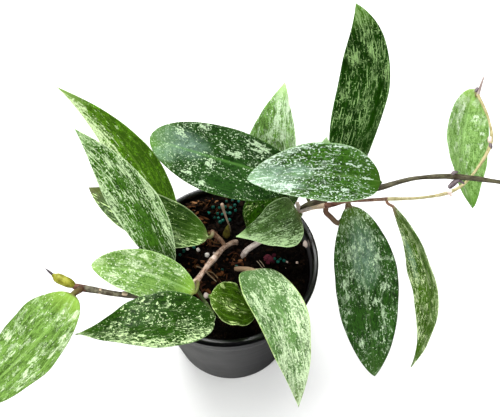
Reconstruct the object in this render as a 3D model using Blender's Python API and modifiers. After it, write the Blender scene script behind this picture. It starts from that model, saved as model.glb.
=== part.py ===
# A splash-leaved hoya in its round nursery pot.
# Lengths below are millimetres. The origin is on the floor under the pot's axis, +Z up,
# +X towards the long trailing vines and -Y towards the side the plant is looked at from.

import math

import bmesh
import bpy
import numpy as np

MM = 0.001
GAP = 0.3  # air kept between touching pieces

# pot: a thin tapered shell with a rolled lip and drain holes round the edge of its floor
POT_HEIGHT = 94.0
LIP_RADIUS = 54.0
LIP_WIDTH = 3.4
LIP_DROP = 4.5
NECK_RADIUS = 52.0
BASE_RADIUS = 38.0
WALL_SLOPE = (NECK_RADIUS - BASE_RADIUS) / (POT_HEIGHT - LIP_DROP)
WALL = 1.4
FLOOR = 2.4
HEEL = 1.5  # rounding between wall and floor
BEAD_HEIGHTS = (74.0, 82.0)
BEAD = 0.4
DRAIN_HOLES = 8
DRAIN_RING = 25.0
DRAIN_RADIUS = 4.5
DRAIN_SIDES = 12
POT_SIDES = 48
LIP_STEPS = 6

# potting mix: fills the pot to a lumpy top
SOIL_TOP = 80.0
SOIL_RINGS = 15
SOIL_SIDES = 48
BANK_FROM = 28.0  # the mix climbs towards the wall from this radius
BANK_RISE = (4.0, 3.0)  # by this much on average, and this much more at the left of the back
BANK_SIDE = math.radians(120)
LUMPS = 70
LUMP_RADIUS = (3.5, 8.0)
LUMP_HEIGHT = (-1.6, 2.6)
LUMP_LIMITS = (-2.5, 3.0)  # of several lumps together
LUMP_FADE = 5.0  # width of the ring along the wall where the lumps die out
ROOT_DEPTH = 14.0
HOLE_PLAY = 0.9

# leaves: fleshy blades on short round stalks
BLADE_THICK = 1.5
EDGE_THICK = 0.7
KEEL = 0.9
STALK_RADIUS = 1.0  # a leaf with a thicker or finer stalk names its own
TIP_HALF = 0.35
RIPPLE = 0.6
RIPPLE_WAVES = 2.5
ACROSS = 5
STALK_RINGS = 5
BLADE_RINGS = 15
BLADE_REACH = (0.08, 0.94)  # first and last ring, as parts of a quarter turn
SHOULDER = 0.12  # part of the blade in which the round stalk flattens out

CUT_SPAN = 6.0  # length of the straight pieces that the stems are drawn with
WINDING_SPAN = 2.5  # the same on a stalk that winds

# Each stem is a list of points (x, y, z, radius). A point that carries a leaf is a little
# swollen, and leaves name it by its place in the list.
CANE_LEFT = [
    (6.0, 19.5, SOIL_TOP - ROOT_DEPTH, 1.6),
    (6.0, 19.5, SOIL_TOP - 5, 1.6),
    (5.0, 18.0, 83, 1.6),
    (-1.0, 10.5, 91, 1.5),
    (-8.0, -2.0, 98, 1.9),
    (-13.5, -13.0, 103, 1.5),
    (-18.0, -22.0, 107, 1.9),
    (-24.0, -26.0, 108, 1.4),
    (-32.0, -27.5, 107, 1.8),
    (-48.0, -29.0, 106, 1.5),
    (-65.0, -26.5, 106, 1.6),
    (-81.0, -22.8, 106, 2.0),
    (-84.8, -21.9, 106, 1.5),
]
SIDE_SHOOT = [
    (-1.0, 10.5, 91, 1.1),
    (-4.0, 13.0, 95, 1.3),
    (-8.5, 16.0, 99, 1.5),
]
CANE_RIGHT = [
    (9.0, 10.0, SOIL_TOP - ROOT_DEPTH, 1.8),
    (9.0, 10.0, SOIL_TOP - 5, 1.8),
    (10.5, 10.5, 83, 1.8),
    (17.5, 12.5, 90, 1.7),
    (29.0, 15.5, 98, 1.9),
    (42.0, 21.0, 112, 2.0),
    (50.0, 22.5, 113, 1.6),
    (59.0, 23.7, 113, 1.6),
    (73.0, 26.0, 113, 0.9),
    (95.5, 27.8, 112, 1.4),
    (115.0, 28.0, 112, 1.0),
    (133.0, 31.5, 112, 1.4),
    (146.0, 40.0, 114, 1.0),
    (161.0, 60.5, 118, 1.4),
    (162.0, 76.5, 123, 0.9),
    (157.0, 92.5, 128, 1.3),
    (159.0, 97.5, 130.5, 0.7),
    (161.0, 102.0, 133, 0.4),
]
VINE_DARK = [
    (40.5, 20.5, 111, 1.2),
    (46.0, 22.0, 115.5, 1.3),
    (53.0, 22.5, 119, 1.7),
    (69.0, 24.0, 124, 1.6),
    (87.0, 25.3, 127, 1.7),
    (109.0, 29.5, 130, 1.2),
    (132.5, 30.0, 130, 1.7),
    (159.0, 28.2, 126, 1.2),
    (171.0, 27.6, 124, 0.8),
    (178.0, 27.4, 123.5, 0.35),
]
BRACTS = [
    [(132.0, 30.5, 130.5, 0.9), (130.5, 32.5, 132.5, 0.8), (129.0, 34.5, 133.0, 0.4)],
    [(132.0, 29.5, 129.0, 0.9), (130.0, 28.0, 127.0, 0.8), (128.0, 27.0, 125.5, 0.4)],
    [(133.0, 31.0, 111.5, 0.8), (134.0, 29.5, 110.5, 0.7), (134.5, 28.0, 109.5, 0.4)],
]
DRY_STALK = [
    (2.0, 26.5, SOIL_TOP - ROOT_DEPTH, 1.0),
    (2.0, 26.5, SOIL_TOP - 4, 1.0),
    (1.0, 27.5, 83, 1.0),
    (-1.5, 31.5, 92, 0.9),
    (-4.0, 35.5, 101, 0.8),
]
GREEN_SHOOT = [
    (-1.5, 22.5, SOIL_TOP - ROOT_DEPTH / 2, 1.2),
    (-1.5, 22.5, 80, 1.3),
    (-1.7, 22.8, 84, 2.0),
    (-1.2, 24.0, 88, 1.5),
    (-0.6, 25.0, 91, 0.5),
]

# Each leaf: where the stalk starts (a stem's point, or a spot in the mix), the way it sets off,
# points it winds through if any, how far it runs straight into the blade, then the blade's
# base, crown and tip.
# roll turns the blade about its midrib, twist winds it from base to tip, fold lifts the margins.
# full and taper shape the outline: small full is a blunt base, large taper a drawn-out tip.
LEAVES = {
    "leaf_far_left": dict(
        stem="left_shoot", at=2, bow=(-6, 2, -3), neck=5,
        base=(-34, 16, 96), crown=(-56, 57, 123), tip=(-94, 74, 167),
        width=29, roll=-38, twist=-8, fold=11, full=0.48, taper=1.15, colour=(0.13, 0.30, 0.03)),
    "leaf_splash_left": dict(
        stem="left", at=8, bow=(0, 6, 3), neck=4,
        base=(-31, -14, 111), crown=(-51, 15, 143), tip=(-79, 39, 172),
        width=30, roll=-43, twist=0, fold=11, full=0.75, taper=1.17, colour=(0.22, 0.36, 0.10)),
    "leaf_under_left": dict(
        stem="left_shoot", at=2, bow=(-1, -2, 4), neck=3,
        base=(-11, 8, 107), crown=(-46, 18, 114), tip=(-82, 41, 113),
        width=31, roll=-6, twist=-3, fold=12, full=0.65, taper=0.93, colour=(0.10, 0.22, 0.03)),
    "leaf_low_left": dict(
        stem="left", at=11, bow=(-1, -3, 3), neck=2,
        base=(-85, -29, 110), crown=(-109, -55, 97), tip=(-142, -75, 76), stalk=1.5,
        width=48, roll=15, twist=0, fold=8, full=0.57, taper=0.66, colour=(0.20, 0.36, 0.06)),
    "leaf_mid_left": dict(
        stem="left", at=6, bow=(1, -3, 5), neck=3,
        base=(-17, -34, 119), crown=(-44, -20, 116), tip=(-76, -12, 112),
        width=27, roll=-33, twist=5, fold=14, full=0.56, taper=0.66, colour=(0.16, 0.34, 0.05)),
    "leaf_dark_left": dict(
        stem="left", at=6, bow=(2, -3, -6), neck=3,
        base=(-7, -47, 113), crown=(-50, -55, 121), tip=(-82, -52, 108),
        width=37, roll=17, twist=36, fold=16, full=0.58, taper=1.35, colour=(0.04, 0.13, 0.02)),
    "leaf_small_round": dict(
        stem=None, root=(-4, -21), bow=(0, 0, 8), neck=3,
        base=(-9, -30, 105), crown=(5, -33, 97), tip=(15, -33, 91),
        width=32, roll=-18, twist=-4, fold=8, full=0.52, taper=0.80, colour=(0.09, 0.20, 0.02)),
    "leaf_bright_front": dict(
        stem=None, root=(5, 2), bow=(0, 0, 8), neck=6,
        base=(15, -15, 106), crown=(32, -57, 112), tip=(38, -86, 80), stalk=1.3,
        width=33, roll=-20, twist=-5, fold=11, full=0.42, taper=1.05, colour=(0.28, 0.42, 0.14)),
    "leaf_small_centre": dict(
        stem="right", at=5, bow=(0, -6, 2), neck=3,
        base=(42, 10, 125), crown=(25, 5, 119), tip=(6, 1, 118),
        width=39, roll=21, twist=28, fold=2, full=0.38, taper=1.0, colour=(0.12, 0.20, 0.07)),
    "leaf_big_top": dict(
        stem="dark", at=2, bow=(0, 6, 1), neck=4,
        base=(43, 33, 123), crown=(6, 37, 139), tip=(-44, 62, 132),
        width=41, roll=-49, twist=2, fold=12, full=0.72, taper=0.58, colour=(0.05, 0.15, 0.06)),
    "leaf_shadow": dict(
        stem="right", at=6, bow=(0, 5, 0), neck=3,
        base=(44, 34, 114), crown=(22, 24, 107), tip=(12, 21, 93),
        width=26, roll=-12, twist=0, fold=10, full=0.8, taper=0.88, colour=(0.04, 0.11, 0.03)),
    "leaf_speckled_top": dict(
        stem="dark", at=4, bow=(0, 0, 3), neck=2,
        base=(88, 25, 134), crown=(53, 23, 146), tip=(13, 20, 147),
        width=36, roll=-15, twist=5, fold=15, full=0.58, taper=0.75, colour=(0.14, 0.24, 0.10)),
    "leaf_tall_back": dict(
        stem="right", at=7, bow=(1, 6, 1), neck=4,
        base=(67, 30, 117), crown=(86, 83, 152), tip=(78, 115, 185),
        width=41, roll=-39, twist=0, fold=18, full=0.55, taper=0.98, colour=(0.03, 0.10, 0.02)),
    "leaf_pale_back": dict(
        stem="right", at=4, bow=(2, 12, 4), neck=2,
        base=(34, 46, 101), crown=(33, 61, 129), tip=(37, 87, 151),
        width=45, roll=-45, twist=14, fold=17, full=0.58, taper=1.06, colour=(0.17, 0.30, 0.11)),
    "leaf_hidden_back": dict(
        stem="dark", at=3, bow=(-1, 5, 0), neck=3,
        base=(62, 32, 122), crown=(60, 43, 127), tip=(60, 56, 137),
        width=18, roll=-20, twist=0, fold=14, full=0.6, taper=0.9, colour=(0.20, 0.32, 0.12)),
    "leaf_far_right": dict(
        stem="right", at=15, bow=(0, 2, -4), neck=2,
        base=(157, 100, 124), crown=(147, 66, 110), tip=(151, 32, 93),
        width=35, roll=-31, twist=-8, fold=16, full=0.66, taper=0.69, colour=(0.22, 0.42, 0.10)),
    "leaf_hang_dark": dict(
        stem="right", at=7, bow=(0, -1, -4), neck=3,
        via=[(62.5, 20.5, 100), (68, 22, 93.5), (73, 31, 90), (75, 38, 92.5)],
        base=(75, 34, 95), crown=(84, -5, 64), tip=(91, -46, 19), stalk=1.2,
        width=45, roll=-14, twist=24, fold=10, full=0.62, taper=0.79, colour=(0.06, 0.16, 0.08)),
    "leaf_hang_narrow": dict(
        stem="right", at=9, bow=(1, -1, -5), neck=4,
        base=(101, 30, 100), crown=(118, -20, 86), tip=(110, -50, 43), stalk=0.7,
        width=34, roll=78, twist=-38, fold=12, full=0.68, taper=1.0, colour=(0.12, 0.22, 0.06)),
}
# the rolled young leaf at the vine's end, as a stem
YOUNG_LEAF = [
    (-85.5, -21.8, 106.3, 1.0),
    (-86.8, -21.2, 107, 2.2),
    (-89.5, -20.2, 108, 3.0),
    (-93.2, -18.2, 108.5, 3.0),
    (-96.6, -16.2, 109.5, 2.1),
    (-98.5, -14.9, 110.5, 0.8),
    (-102.5, -11.7, 112.5, 0.35),
]


def unit(v):
    return v / np.maximum(np.linalg.norm(v, axis=-1, keepdims=True), 1e-9)


def material(name, colour, roughness, metallic=0.0):
    made = bpy.data.materials.new(name)
    made.use_nodes = True
    shader = made.node_tree.nodes["Principled BSDF"]
    shader.inputs["Base Color"].default_value = (*colour, 1.0)
    shader.inputs["Roughness"].default_value = roughness
    shader.inputs["Metallic"].default_value = metallic
    made.diffuse_color = (*colour, 1.0)
    return made


def new_collection(name, hidden=False):
    made = bpy.data.collections.new(name)
    bpy.context.scene.collection.children.link(made)
    made.hide_render = hidden
    return made


def place(name, mesh, collection, finish=None):
    item = bpy.data.objects.new(name, mesh)
    collection.objects.link(item)
    if finish is not None:
        mesh.materials.clear()
        mesh.materials.append(finish)
    return item


# The evaluated object as a mesh object of its own, with its modifiers applied.
def baked(item, name, collection, finish=None):
    bpy.context.view_layer.update()
    graph = bpy.context.evaluated_depsgraph_get()
    mesh = bpy.data.meshes.new_from_object(item.evaluated_get(graph))
    work = bmesh.new()
    work.from_mesh(mesh)
    bmesh.ops.remove_doubles(work, verts=work.verts, dist=0.00001)
    work.to_mesh(mesh)
    work.free()
    mesh.name = name
    made = place(name, mesh, collection, finish)
    made.matrix_world = item.matrix_world
    return made


def discard(items):
    for item in list(items):
        bpy.data.objects.remove(item, do_unlink=True)


# A profile of (radius, height) turned round the Z axis.
def turned(name, profile, sides, collection):
    mesh = bpy.data.meshes.new(name)
    points = [(r * MM, 0.0, z * MM) for r, z in profile]
    edges = [(i, i + 1) for i in range(len(points) - 1)]
    mesh.from_pydata(points, edges, [])
    item = place(name, mesh, collection)
    screw = item.modifiers.new("turn", "SCREW")
    screw.steps = sides
    screw.render_steps = sides
    screw.use_merge_vertices = True
    screw.merge_threshold = 0.00001
    return item


# Points on a smooth curve through the stem's points, the given points among them.
def smooth_route(points, span=CUT_SPAN):
    p = np.array(points, float)
    ends = np.vstack([2 * p[0] - p[1], p, 2 * p[-1] - p[-2]])
    route = []
    for i in range(1, len(ends) - 2):
        a, b, c, d = ends[i - 1:i + 3]
        length = np.linalg.norm((c - b)[:3])
        count = max(2, round(length / span))
        for k in range(count):
            t = k / count
            bend = (2 * b + (c - a) * t + (2 * a - 5 * b + 4 * c - d) * t ** 2
                    + (3 * b - a - 3 * c + d) * t ** 3) / 2
            bend[3] = b[3] + (c[3] - b[3]) * t
            route.append(bend)
    route.append(p[-1])
    return np.array(route)


def tube(name, points, collection, sides=2):
    route = smooth_route(points)
    curve = bpy.data.curves.new(name, "CURVE")
    curve.dimensions = "3D"
    curve.bevel_depth = MM
    curve.bevel_resolution = sides
    curve.use_fill_caps = True
    spline = curve.splines.new("POLY")
    spline.points.add(len(route) - 1)
    for point, (x, y, z, radius) in zip(spline.points, route):
        point.co = (x * MM, y * MM, z * MM, 1.0)
        point.radius = radius
    item = bpy.data.objects.new(name, curve)
    collection.objects.link(item)
    return item


# Several routes grown together: each is a tube, and one Boolean union makes them one body.
def grown_stem(name, routes, collection, work, finish):
    pieces = []
    for number, points in enumerate(routes):
        line = tube(f"{name}_line_{number}", points, work)
        pieces.append(baked(line, f"{name}_tube_{number}", work))
        discard([line])
    trunk = pieces[0]
    for branch in pieces[1:]:
        union = trunk.modifiers.new("join", "BOOLEAN")
        union.operation = "UNION"
        union.object = branch
    made = baked(trunk, name, collection, finish)
    discard(pieces)
    made.data.set_sharp_from_angle(angle=math.radians(50))
    return made


def pot_profile():
    lip_inner = LIP_RADIUS - LIP_WIDTH
    lip_half = LIP_WIDTH / 2

    def outer(z):
        return BASE_RADIUS + WALL_SLOPE * z

    heel_in = BASE_RADIUS - WALL
    profile = [(0, FLOOR), (heel_in - HEEL, FLOOR), (heel_in + WALL_SLOPE * FLOOR, FLOOR + HEEL)]
    profile.append((lip_inner, POT_HEIGHT - LIP_DROP - 1))
    for k in range(LIP_STEPS + 1):
        angle = math.pi * (1 - k / LIP_STEPS)
        profile.append((LIP_RADIUS - lip_half + lip_half * math.cos(angle),
                        POT_HEIGHT - lip_half + lip_half * math.sin(angle)))
    profile.append((LIP_RADIUS, POT_HEIGHT - LIP_DROP + 0.5))
    profile.append((LIP_RADIUS - 0.5, POT_HEIGHT - LIP_DROP))
    profile.append((outer(POT_HEIGHT - LIP_DROP), POT_HEIGHT - LIP_DROP))
    for height in reversed(BEAD_HEIGHTS):
        for step, rise in ((1.0, 0), (0, BEAD), (-1.0, 0)):
            profile.append((outer(height + step) + rise, height + step))
    profile += [(outer(HEEL), HEEL), (BASE_RADIUS - HEEL / 3, HEEL / 3), (BASE_RADIUS - HEEL, 0)]
    profile.append((0, 0))
    return profile


def build_pot(collection, cutters):
    item = turned("pot_shell", pot_profile(), POT_SIDES, cutters)
    plate = bpy.data.meshes.new("drains")
    work = bmesh.new()
    for k in range(DRAIN_HOLES):
        angle = 2 * math.pi * (k + 0.5) / DRAIN_HOLES
        made = bmesh.ops.create_cone(work, cap_ends=True, segments=DRAIN_SIDES, depth=4 * FLOOR * MM,
                                     radius1=DRAIN_RADIUS * MM, radius2=DRAIN_RADIUS * MM)
        shift = (DRAIN_RING * math.cos(angle) * MM, DRAIN_RING * math.sin(angle) * MM, 0)
        bmesh.ops.translate(work, verts=made["verts"], vec=shift)
    work.to_mesh(plate)
    work.free()
    drains = place("pot_drains", plate, cutters)
    drains.display_type = "WIRE"
    drains.hide_render = True
    cut = item.modifiers.new("drain", "BOOLEAN")
    cut.operation = "DIFFERENCE"
    cut.object = drains
    pot = baked(item, "pot", collection, material("black_plastic", (0.012, 0.013, 0.014), 0.45))
    pot.data.set_sharp_from_angle(angle=math.radians(35))
    discard([item])
    return pot


# Height of the lumpy top of the mix at every (x, y): it climbs to the wall, and the lumps
# fade out there.
def soil_height(x, y, edge):
    reach = np.hypot(x, y)
    climb = np.clip((reach - BANK_FROM) / (edge - BANK_FROM), 0, 1)
    mean, more = BANK_RISE
    bank = (mean + more * np.cos(np.arctan2(y, x) - BANK_SIDE)) * climb ** 2 * (3 - 2 * climb)
    dice = np.random.default_rng(17)
    spots = dice.uniform(-edge, edge, (LUMPS, 2))
    sizes = dice.uniform(*LUMP_RADIUS, LUMPS)
    rises = dice.uniform(*LUMP_HEIGHT, LUMPS)
    away = np.hypot(x[:, None] - spots[:, 0], y[:, None] - spots[:, 1])
    swell = (np.clip(1 - (away / sizes) ** 2, 0, 1) * rises).sum(axis=1)
    fade = np.clip((edge - reach) / LUMP_FADE, 0, 1)
    return SOIL_TOP + bank + np.clip(swell, *LUMP_LIMITS) * fade


def build_soil(collection, cutters, holes):
    def inner(z):
        return BASE_RADIUS + WALL_SLOPE * z - WALL - 2 * GAP

    edge = inner(SOIL_TOP - 1)
    profile = [(edge * k / SOIL_RINGS, SOIL_TOP) for k in range(SOIL_RINGS + 1)]
    bottom = FLOOR + GAP
    profile += [(inner(bottom + 2 * HEEL), bottom + 2 * HEEL), (inner(0) - 2 * HEEL, bottom), (0, bottom)]
    shape = turned("soil_shape", profile, SOIL_SIDES, cutters)
    plug = baked(shape, "soil_plug", cutters)
    discard([shape])
    points = np.empty(len(plug.data.vertices) * 3)
    plug.data.vertices.foreach_get("co", points)
    points = points.reshape(-1, 3) / MM
    top = points[:, 2] > SOIL_TOP - 0.5
    x, y = points[top, 0], points[top, 1]
    points[top, 2] = soil_height(x, y, edge)
    spread = WALL_SLOPE * (points[top, 2] - SOIL_TOP) * (np.hypot(x, y) / edge) ** 4 / edge
    points[top, :2] *= 1 + spread[:, None]
    plug.data.vertices.foreach_set("co", (points * MM).ravel())
    plug.data.update()
    for number, (x, y, radius, depth) in enumerate(holes):
        bottom = SOIL_TOP - depth - GAP
        height = SOIL_TOP + 8 - bottom
        bpy.ops.mesh.primitive_cylinder_add(vertices=12, radius=(radius + HOLE_PLAY) * MM,
                                            depth=height * MM,
                                            location=(x * MM, y * MM, (bottom + height / 2) * MM))
        drill = bpy.context.object
        drill.name = f"soil_hole_{number}"
        for owner in list(drill.users_collection):
            owner.objects.unlink(drill)
        cutters.objects.link(drill)
        drill.display_type = "WIRE"
        drill.hide_render = True
        cut = plug.modifiers.new(drill.name, "BOOLEAN")
        cut.operation = "DIFFERENCE"
        cut.object = drill
    soil = baked(plug, "soil", collection, material("potting_mix", (0.030, 0.020, 0.014), 0.95))
    discard([plug])
    return soil


# The blade's midrib: a curve from base to tip through the crown, with its heading.
def midrib(spec, s):
    base, crown, tip = (np.array(spec[key], float) for key in ("base", "crown", "tip"))
    pull = 2 * crown - (base + tip) / 2
    s = s[:, None]
    point = (1 - s) ** 2 * base + 2 * s * (1 - s) * pull + s ** 2 * tip
    heading = unit((1 - s) * (pull - base) + s * (tip - pull))
    return point, heading


# The way the blade faces along its midrib: upwards, turned by roll and twist.
def facing(spec, s, heading):
    up = np.array([0.0, 0.0, 1.0])
    level = unit(up - (heading @ up)[:, None] * heading)
    angle = np.radians(spec.get("roll", 0) + spec.get("twist", 0) * (s - 0.5))[:, None]
    return level * np.cos(angle) + np.cross(heading, level) * np.sin(angle)


def half_width(spec, s):
    full, taper = spec["full"], spec["taper"]
    peak = full / (full + taper)
    shape = s ** full * (1 - s) ** taper / (peak ** full * (1 - peak) ** taper)
    return shape * spec["width"] / 2


# The stalk: a cubic curve from its foot on the stem, or straight up out of the mix. One that
# winds on its way passes through the points it names.
def stalk(spec, foot, start, base, heading):
    ends = [foot, foot + start, base - heading * spec["neck"], base]
    if "via" in spec:
        stops = [foot, foot + start, *spec["via"], ends[2], base]
        route = smooth_route([(*stop, 0) for stop in stops], WINDING_SPAN)[:, :3]
        way = unit(np.gradient(route, axis=0))
        way[0] = unit(start)
        return route[:-1], way[:-1]
    t = np.linspace(0, 0.94, STALK_RINGS)[:, None]
    point = ((1 - t) ** 3 * ends[0] + 3 * t * (1 - t) ** 2 * ends[1]
             + 3 * t ** 2 * (1 - t) * ends[2] + t ** 3 * ends[3])
    way = unit((1 - t) ** 2 * (ends[1] - ends[0]) + 2 * t * (1 - t) * (ends[2] - ends[1])
               + t ** 2 * (ends[3] - ends[2]))
    if spec["stem"] is None:
        below = np.array([0.0, 0.0, ROOT_DEPTH])
        point = np.vstack([foot - below, point])
        way = np.vstack([way[:1], way])
    return point, way


# Rings of one leaf from the stalk's foot to the tip: each ring is ACROSS points over the top
# and as many back underneath, round on the stalk and thin on the blade.
def leaf_rings(spec, stalk_part):
    s = np.sin(np.linspace(*BLADE_REACH, BLADE_RINGS) * math.pi / 2) ** 2
    centre, heading = midrib(spec, s)
    face = facing(spec, s, heading)
    half = np.maximum(half_width(spec, s), TIP_HALF)
    flat = np.clip(s / SHOULDER, 0, 1) ** 0.7
    wave = RIPPLE * np.sin(2 * math.pi * RIPPLE_WAVES * s + spec["width"])
    point, way = stalk_part
    side = np.cross(heading[0], face[0])
    side = unit(side - (way @ side)[:, None] * way)
    centre = np.vstack([point, centre])
    face = np.vstack([np.cross(side, way), face])
    heading = np.vstack([way, heading])
    zeros = np.zeros(len(point))
    s, half, flat, wave = (np.concatenate([zeros, row]) for row in (s, half, flat, wave))
    side = np.cross(heading, face)

    v = np.linspace(-1, 1, ACROSS)
    turn = math.pi * (np.arange(ACROSS) + 0.5) / ACROSS
    round_half = (spec.get("stalk", STALK_RADIUS) * (1 - flat))[:, None]
    blade = (flat * (1 - 0.4 * s))[:, None]
    fold = math.radians(spec.get("fold", 0))
    across = half[:, None] * v * math.cos(fold) - round_half * np.cos(turn)
    lift = (half[:, None] * np.abs(v) ** 1.3 * math.sin(fold)
            + wave[:, None] * v ** 2 * np.clip(half / spec["width"] * 2, 0, 1)[:, None])
    over = blade * (EDGE_THICK + (BLADE_THICK - EDGE_THICK) * (1 - v ** 2)) / 2 + round_half * np.sin(turn)
    over = np.maximum(over, EDGE_THICK / 2)
    under = over + (KEEL * flat * (1 - s))[:, None] * np.exp(-(v / 0.3) ** 2)
    top = centre[:, None] + side[:, None] * across[..., None] + face[:, None] * (lift + over)[..., None]
    bottom = centre[:, None] + side[:, None] * across[..., None] + face[:, None] * (lift - under)[..., None]
    return np.concatenate([top, bottom[:, ::-1]], axis=1)


# The skin over the rings. Both faces of the blade are split into triangles alike.
def skin(name, rings, collection, finish):
    count, around = rings.shape[:2]
    last = around - 1
    faces = [list(range(last, -1, -1))]
    for i in range(count - 1):
        here, there = i * around, (i + 1) * around
        for j in range(ACROSS - 1):
            a, b, c, d = here + j, here + j + 1, there + j + 1, there + j
            faces += [(a, b, c), (a, c, d)]
            a, b, c, d = here + last - j, here + last - j - 1, there + last - j - 1, there + last - j
            faces += [(a, c, b), (a, d, c)]
        faces += [(here, there, there + last), (here, there + last, here + last)]
        a, b, c, d = here + ACROSS - 1, here + ACROSS, there + ACROSS, there + ACROSS - 1
        faces += [(a, b, c), (a, c, d)]
    faces.append([(count - 1) * around + j for j in range(around)])
    mesh = bpy.data.meshes.new(name)
    mesh.from_pydata((rings.reshape(-1, 3) * MM).tolist(), [], faces)
    item = place(name, mesh, collection, finish)
    mesh.shade_smooth()
    mesh.set_sharp_from_angle(angle=math.radians(60))
    return item


# The foot of a stalk: on the stem's skin, a gap clear of it, setting off square to the stem.
def foot_on(route, at, bow):
    here = np.array(route[at][:3])
    before = np.array(route[max(at - 1, 0)][:3])
    after = np.array(route[min(at + 1, len(route) - 1)][:3])
    along = unit(after - before)
    bow = np.array(bow, float)
    reach = np.linalg.norm(bow)
    out = unit(bow - (bow @ along) * along)
    return here + out * (route[at][3] + GAP), out * reach


def build_leaf(name, spec, routes, collection):
    base = np.array(spec["base"], float)
    heading = midrib(spec, np.zeros(1))[1][0]
    if spec["stem"] is None:
        foot = np.array([*spec["root"], SOIL_TOP], float)
        start = np.array(spec["bow"], float)
    else:
        foot, start = foot_on(routes[spec["stem"]], spec["at"], spec["bow"])
    rings = leaf_rings(spec, stalk(spec, foot, start, base, heading))
    return skin(name, rings, collection, material(name, spec["colour"], 0.35))


def build_plant(collection, cutters):
    routes = {"left": CANE_LEFT, "left_shoot": SIDE_SHOOT, "right": CANE_RIGHT, "dark": VINE_DARK}
    bark = material("bark", (0.28, 0.19, 0.11), 0.7)
    grown_stem("stem_left", [CANE_LEFT, SIDE_SHOOT], collection, cutters, bark)
    grown_stem("stem_right", [CANE_RIGHT, VINE_DARK, *BRACTS], collection, cutters, bark)
    grown_stem("dry_stalk", [DRY_STALK], collection, cutters, material("straw", (0.35, 0.24, 0.14), 0.8))
    young = material("young_growth", (0.25, 0.24, 0.04), 0.5)
    grown_stem("green_shoot", [GREEN_SHOOT], collection, cutters, young)
    grown_stem("leaf_young", [YOUNG_LEAF], collection, cutters, young)
    for name, spec in LEAVES.items():
        build_leaf(name, spec, routes, collection)


def stem_holes():
    holes = []
    for route in (CANE_LEFT, CANE_RIGHT, DRY_STALK):
        holes.append((route[0][0], route[0][1], route[0][3], ROOT_DEPTH))
    holes.append((GREEN_SHOOT[0][0], GREEN_SHOOT[0][1], GREEN_SHOOT[1][3], ROOT_DEPTH / 2))
    for spec in LEAVES.values():
        if spec["stem"] is None:
            holes.append((*spec["root"], spec.get("stalk", STALK_RADIUS), ROOT_DEPTH))
    return holes


def main():
    for item in list(bpy.data.objects):
        bpy.data.objects.remove(item, do_unlink=True)
    plant = new_collection("potted_hoya")
    cutters = new_collection("cutters", hidden=True)
    build_pot(plant, cutters)
    build_soil(plant, cutters, stem_holes())
    build_plant(plant, cutters)


main()
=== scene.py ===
import math

import bpy
import numpy as np
from mathutils import Matrix, Vector


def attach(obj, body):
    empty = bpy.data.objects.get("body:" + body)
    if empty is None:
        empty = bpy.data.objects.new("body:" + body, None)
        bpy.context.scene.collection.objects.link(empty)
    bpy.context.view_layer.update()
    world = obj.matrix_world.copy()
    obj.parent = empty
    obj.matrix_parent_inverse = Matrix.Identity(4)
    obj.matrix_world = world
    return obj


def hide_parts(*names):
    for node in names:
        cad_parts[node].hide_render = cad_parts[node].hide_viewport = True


# A splash-leaved hoya in a round black nursery pot. Shapes are written in millimetres and turned
# to metres when a mesh is made: origin under the pot, +Z up, +X along the trailing vines.
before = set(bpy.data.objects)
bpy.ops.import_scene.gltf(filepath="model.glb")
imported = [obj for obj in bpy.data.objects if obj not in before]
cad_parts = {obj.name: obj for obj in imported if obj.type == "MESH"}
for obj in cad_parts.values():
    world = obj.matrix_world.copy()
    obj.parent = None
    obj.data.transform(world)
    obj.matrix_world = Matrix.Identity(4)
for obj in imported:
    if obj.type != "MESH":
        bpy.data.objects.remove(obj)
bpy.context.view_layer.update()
mm = 0.001
mixTop = 80.0  # height of the potting mix at the middle


# camera: the photo looks down on the pot from the front, slightly rolled
view = {
    "lookAt": (14.3, 35.3, 94.0),
    "distance": 492.0,
    "elevation": 57.0,  # degrees above the floor
    "roll": -1.5,
    "lens": 57.6,
    "sensor": 36.0,
    "clip": 0.01,
}


# the camera stands back from its aim against the line of sight; its right and its up are turned
# about that line by the roll
def makeCamera(spec):
    tilt, roll = math.radians(spec["elevation"]), math.radians(spec["roll"])
    ahead = Vector((0, math.cos(tilt), -math.sin(tilt)))
    right = Vector((1, 0, 0))
    above = right.cross(ahead)
    x = right * math.cos(roll) + above * math.sin(roll)
    y = above * math.cos(roll) - right * math.sin(roll)
    place = (Vector(spec["lookAt"]) - ahead * spec["distance"]) * mm
    data = bpy.data.cameras.new("camera")
    data.lens = spec["lens"]
    data.sensor_width = spec["sensor"]
    data.clip_start = spec["clip"]
    item = bpy.data.objects.new("camera", data)
    bpy.context.scene.collection.objects.link(item)
    item.matrix_world = Matrix.Translation(place) @ Matrix((x, y, -ahead)).transposed().to_4x4()
    bpy.context.scene.camera = item


makeCamera(view)
print("camera set")


# materials

# sRGB hex to linear red, green and blue, with an alpha of 1: a small share of 255 is divided by
# 12.92, any other gets 0.055 more, is divided by 1.055 and raised to the power 2.4
def hexColour(code):
    part = np.array([int(code[i:i + 2], 16) for i in (1, 3, 5)]) / 255
    return (*np.where(part <= 0.04045, part / 12.92, ((part + 0.055) / 1.055) ** 2.4), 1.0)


# adds one node and gives its output: keywords are the node's own settings, and sockets are its
# inputs by name or number, where a socket is linked and anything else is set
def addNode(tree, kind, sockets=None, out=0, **settings):
    node = tree.nodes.new("ShaderNode" + kind)
    for key, value in settings.items():
        setattr(node, key, value)
    for key, value in (sockets or {}).items():
        if isinstance(value, bpy.types.NodeSocket):
            tree.links.new(value, node.inputs[key])
        else:
            node.inputs[key].default_value = value
    return node.outputs[out] if node.outputs else None


# the inputs of a Map Range node, in the order of the rows that the finishes below give
rangeKeys = ("Value", "From Min", "From Max", "To Min", "To Max")


# an empty material and its node tree
def newTree(name):
    material = bpy.data.materials.new(name)
    material.use_nodes = True
    material.node_tree.nodes.clear()
    return material, material.node_tree


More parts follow.
